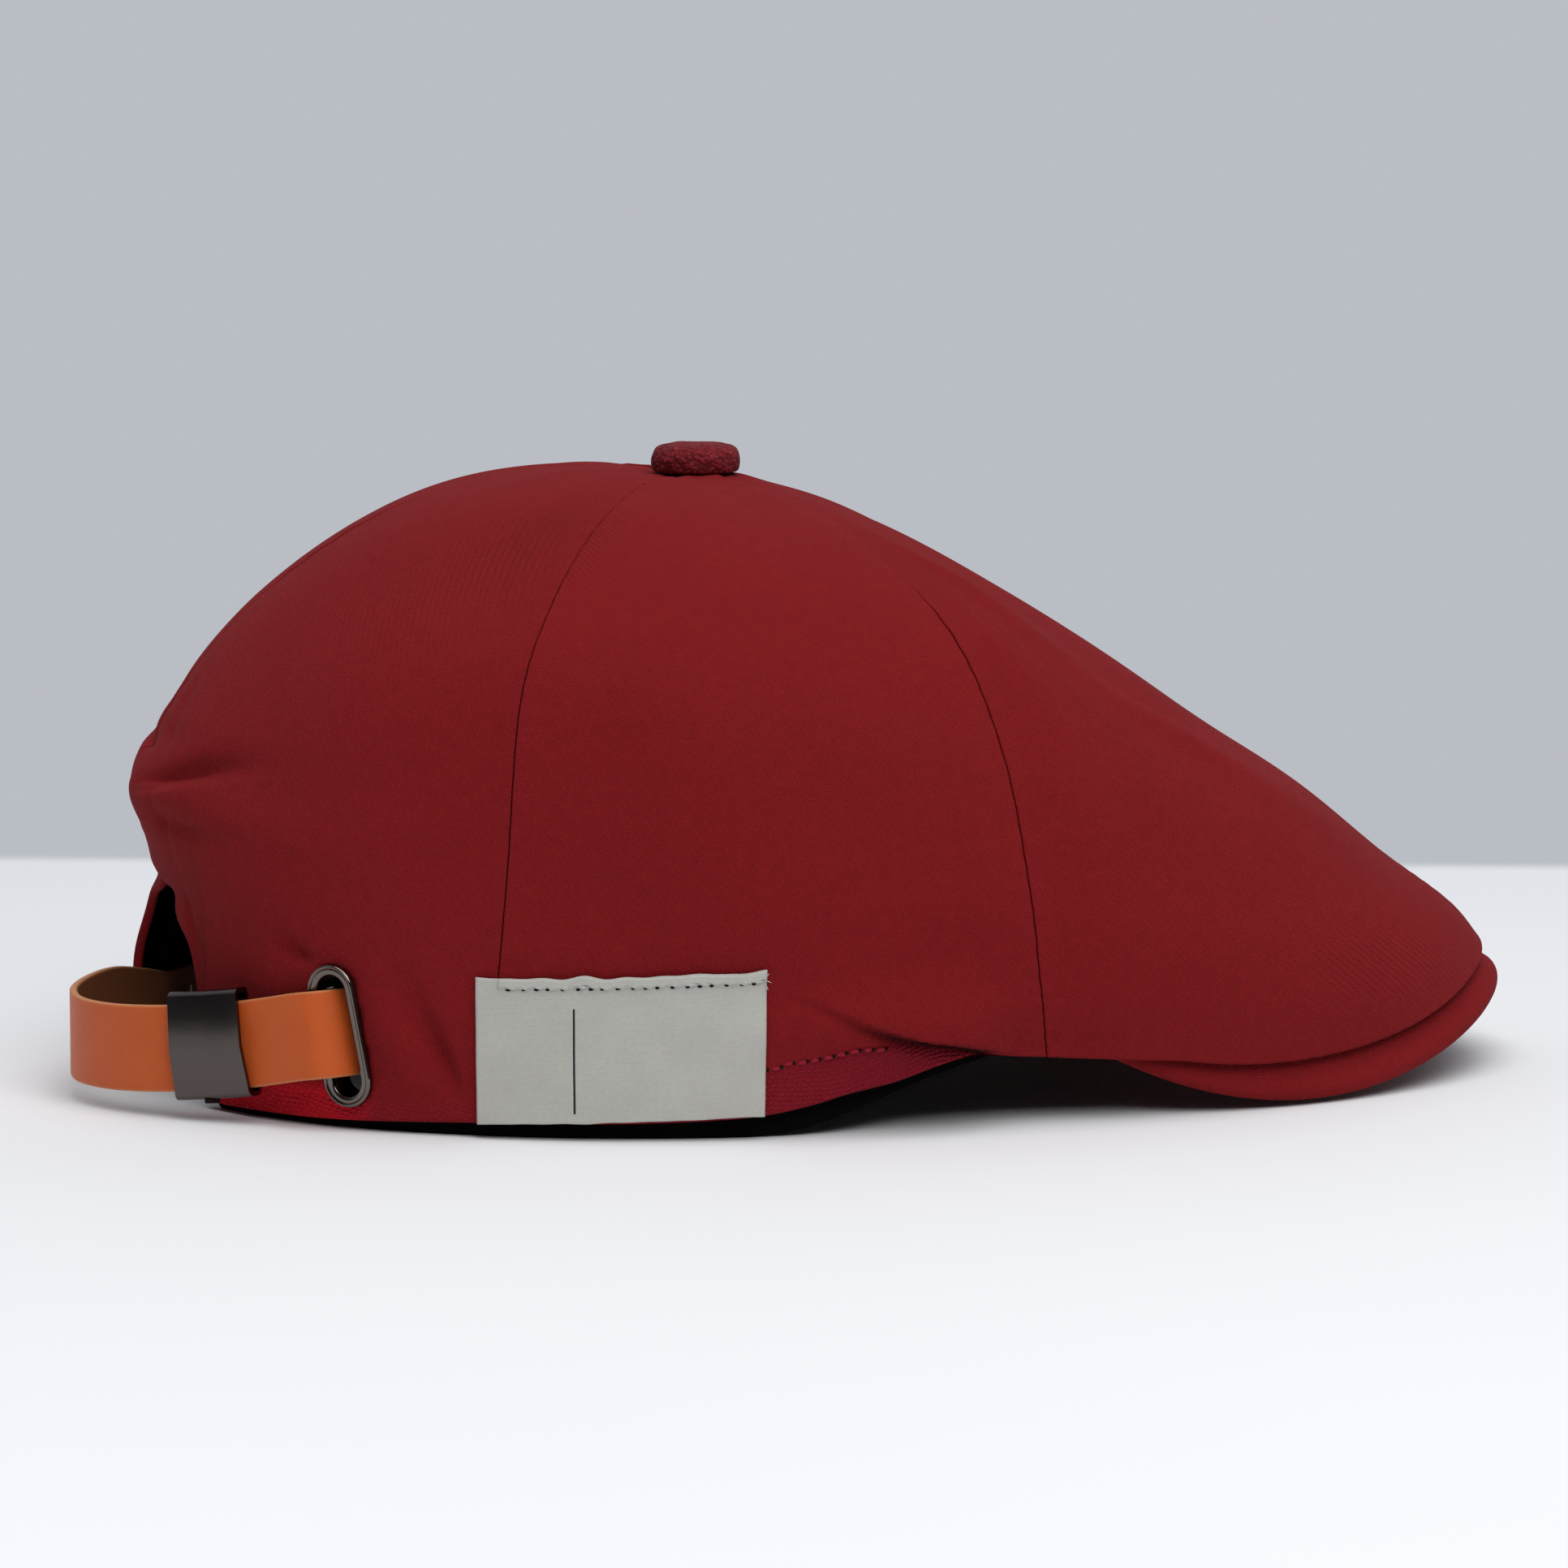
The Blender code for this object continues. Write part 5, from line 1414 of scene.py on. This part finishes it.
def slider(metal, dark):
    """The flat tube round the strap, its outer plate slightly bowed, a prong above and a tab below."""
    middle = strap_length(SLIDER_BEARING)
    stations = 24
    corners = 2 * stations

    def place(u, v, w):
        corner = np.round(v * corners).astype(int) % corners
        outer = corner >= stations
        station = np.where(outer, corners - 1 - corner, corner)
        distance = middle + (station / (stations - 1) - 0.5) * SLIDER_LENGTH
        across, up = rounded(u, STRAP_LEATHER / 2 + GAP, STRAP_WIDTH / 2 + SLIDER_PLAY, GAP,
                             outer * SLIDER_METAL)
        bow = SLIDER_BULGE * (1 - (up / (STRAP_WIDTH / 2 + SLIDER_PLAY + SLIDER_METAL)) ** 2)
        return strap_way(distance, across + np.where(across > 0, bow, 0.0), up + SLIDER_ROOM * (up > 0))

    top = STRAP_WIDTH / 2 + SLIDER_PLAY + SLIDER_ROOM
    base, tip = strap_way(np.full(2, middle + PRONG_PLACE * SLIDER_LENGTH), CATCH_OUT,
                          np.array([top, top + PRONG_LENGTH]))
    bm = bmesh.new()
    bmesh.ops.create_cone(bm, segments=16, radius1=PRONG_RADIUS, radius2=PRONG_RADIUS / 4, cap_ends=True,
                          depth=PRONG_LENGTH, matrix=between(base, tip))
    prong = finish("slider_prong", bm, [metal])
    foot = strap_way(np.array([middle + TAB_PLACE * SLIDER_LENGTH]), CATCH_OUT,
                     np.array([-STRAP_WIDTH / 2 - SLIDER_PLAY - TAB_DROP]))[0]
    bm = bmesh.new()
    bmesh.ops.create_cube(bm, size=1.0, matrix=Matrix.Translation(Vector(foot))
                          @ Matrix.Diagonal((*TAB_SIZE, 1.0)))
    bmesh.ops.bevel(bm, geom=bm.edges[:], offset=TAB_ROUND, segments=2, affect="EDGES", profile=0.5,
                    material=-1)
    tab = finish("slider_tab", bm, [dark])
    return stand_for(ring("slider_metal", (96, corners), place, [metal]), "slider")


def eyelet_place(across, up, out):
    """Points in the eyelet's own directions: back, up and out of the crown's face."""
    theta, t = on_crown(np.array([EYELET_BEARING]), np.array([EYELET_HEIGHT]))
    middle, outwards = crown_face(theta, t)[0], crown_normal(theta, t)[0]
    lean = math.radians(EYELET_LEAN)
    back = unit(np.cross(outwards, (0, 0, 1)))
    top = np.cross(back, outwards)
    long = math.cos(lean) * top + math.sin(lean) * back
    wide = math.cos(lean) * back - math.sin(lean) * top
    return middle + np.outer(across, wide) + np.outer(up, long) + np.outer(out, outwards)


def eyelet(metal):
    """The oval eyelet: a flange with two rolled rims, and its tube."""
    rim = EYELET_RIM * EYELET_TABLE["rim"]
    tube = EYELET_TUBE * EYELET_TABLE["tube"]
    crest = EYELET_CREST * EYELET_TABLE["crest"]
    depth = EYELET_TABLE["depth"]
    grow, out = rim + tube, np.where(depth > 0, -EYELET_DEPTH, FLANGE_LIFT + crest)

    def place(u, v, w):
        corner = np.round(v * len(rim)).astype(int) % len(rim)
        half = EYELET_WIDE / 2 - EYELET_RIM
        across, up = rounded(u, half, EYELET_LONG / 2 - EYELET_RIM, half, grow[corner])
        return eyelet_place(across, up, out[corner])

    return stand_for(ring("eyelet_metal", (128, len(rim)), place, [metal]), "eyelet")


# Stage

def floor(top):
    """A white table top that turns into the wall's colour behind the cap."""
    bm = bmesh.new()
    bmesh.ops.create_grid(bm, x_segments=1, y_segments=1, size=TABLE_HALF)
    table = new_mesh("table", bm, [top])


def look(thing, place, towards):
    """Put a lamp or a camera at a place and turn it towards a direction."""
    thing.location = place
    thing.rotation_mode = "QUATERNION"
    thing.rotation_quaternion = Vector(towards).to_track_quat("-Z", "Y")


def area_light(name, place, size, watts):
    """A soft white light that shines at the cap."""
    data = bpy.data.lights.new(name, "AREA")
    data.shape = "RECTANGLE"
    data.size, data.size_y = size
    data.energy = watts
    look(new_object(name, data), place, np.array(LIGHT_AIM) - np.array(place))


def camera():
    """The camera, at the photograph's viewing angle."""
    data = bpy.data.cameras.new("camera")
    data.sensor_width = SENSOR
    data.lens = SENSOR * PIXELS_PER_METRE * CAMERA_DISTANCE / PIXELS
    a, e = math.radians(CAMERA_TURN), math.radians(CAMERA_TILT)
    back = Vector((math.sin(a) * math.cos(e), -math.cos(a) * math.cos(e), math.sin(e)))
    data.clip_start, data.clip_end = 0.05, 50.0
    bpy.context.scene.camera = new_object("camera", data)
    look(bpy.context.scene.camera, Vector(CAMERA_AIM) + back * CAMERA_DISTANCE, -back)


def world():
    """The pale grey-blue wall, which fills the shadows and is dimmer on the camera's side.

    The camera itself sees the same pale wall everywhere."""
    made = bpy.data.worlds.new("studio")
    made.use_nodes = True
    tree = made.node_tree
    along = add(tree, "SeparateXYZ", {0: add(tree, "TexCoord", {}, "Generated")}, "Y")
    front = add(tree, "MapRange", {"Value": along, "From Min": DIMMING[0], "From Max": DIMMING[1]},
                interpolation_type="SMOOTHSTEP")
    tone = add(tree, "Mix", {0: front, 6: WALL, 7: DIM_WALL}, 2, data_type="RGBA")
    seen = add(tree, "LightPath", {}, "Is Camera Ray")
    wall = add(tree, "Mix", {0: seen, 6: tone, 7: WALL}, 2, data_type="RGBA")
    set_inputs(tree, tree.nodes["Background"], {"Color": wall})
    bpy.context.scene.world = made


def build():
    """Make every piece and the stage."""
    cloth = twill("burgundy_cotton_twill")
    lining = plain_weave("black_cotton_lining", "#070607", "#0d0b0c")
    webbing = plain_weave("black_sweatband_cloth", "#060506", "#0b0a0b")
    pale_thread = sewing_thread("pale_grey_thread", "#c9c9c4")
    red_thread = sewing_thread("burgundy_thread", "#9a1e30")
    # Near black, for the dark marks painted as shade by the stitches and for the slider's black tab.
    shade = sewing_thread("stitch_shade_and_black_tab", "#1c0809")
    metal = gunmetal("gunmetal_plated_zinc", "#5a5350", 0.17, 0.27, (300.0, 300.0, 2500.0), 0.04)
    polished = gunmetal("polished_gunmetal", "#6c6560", 0.07, 0.13, (400.0, 400.0, 400.0), 0.01)
    for turn, node in enumerate(PANELS):
        start = turn_from(PANEL_TURN * turn, 0.0)
        panel = crown_panel(node, start, start + PANEL_TURN, [cloth, lining])
        if start < EYELET_BEARING < start + PANEL_TURN:
            open_hole(panel)
    sweatband(webbing)
    peak(cloth)
    button(nubby_twill())
    label(woven_label(), pale_thread, shade)
    for tag, side in (("right", 1), ("left", -1)):
        hem_stitches(tag, side, red_thread, shade)
    strap(strap_leather("tan_cowhide", "#c1511b", "#cb5e27", "#c58050"),
          strap_leather("cowhide_flesh_side", "#7c4526", "#8c5432", "#a87048"))
    slider(metal, shade)
    eyelet(polished)
    floor(table_top())
    world()
    for light in LIGHTS:
        area_light(*light)
    camera()
    bpy.context.scene.view_settings.view_transform = "Standard"


build()
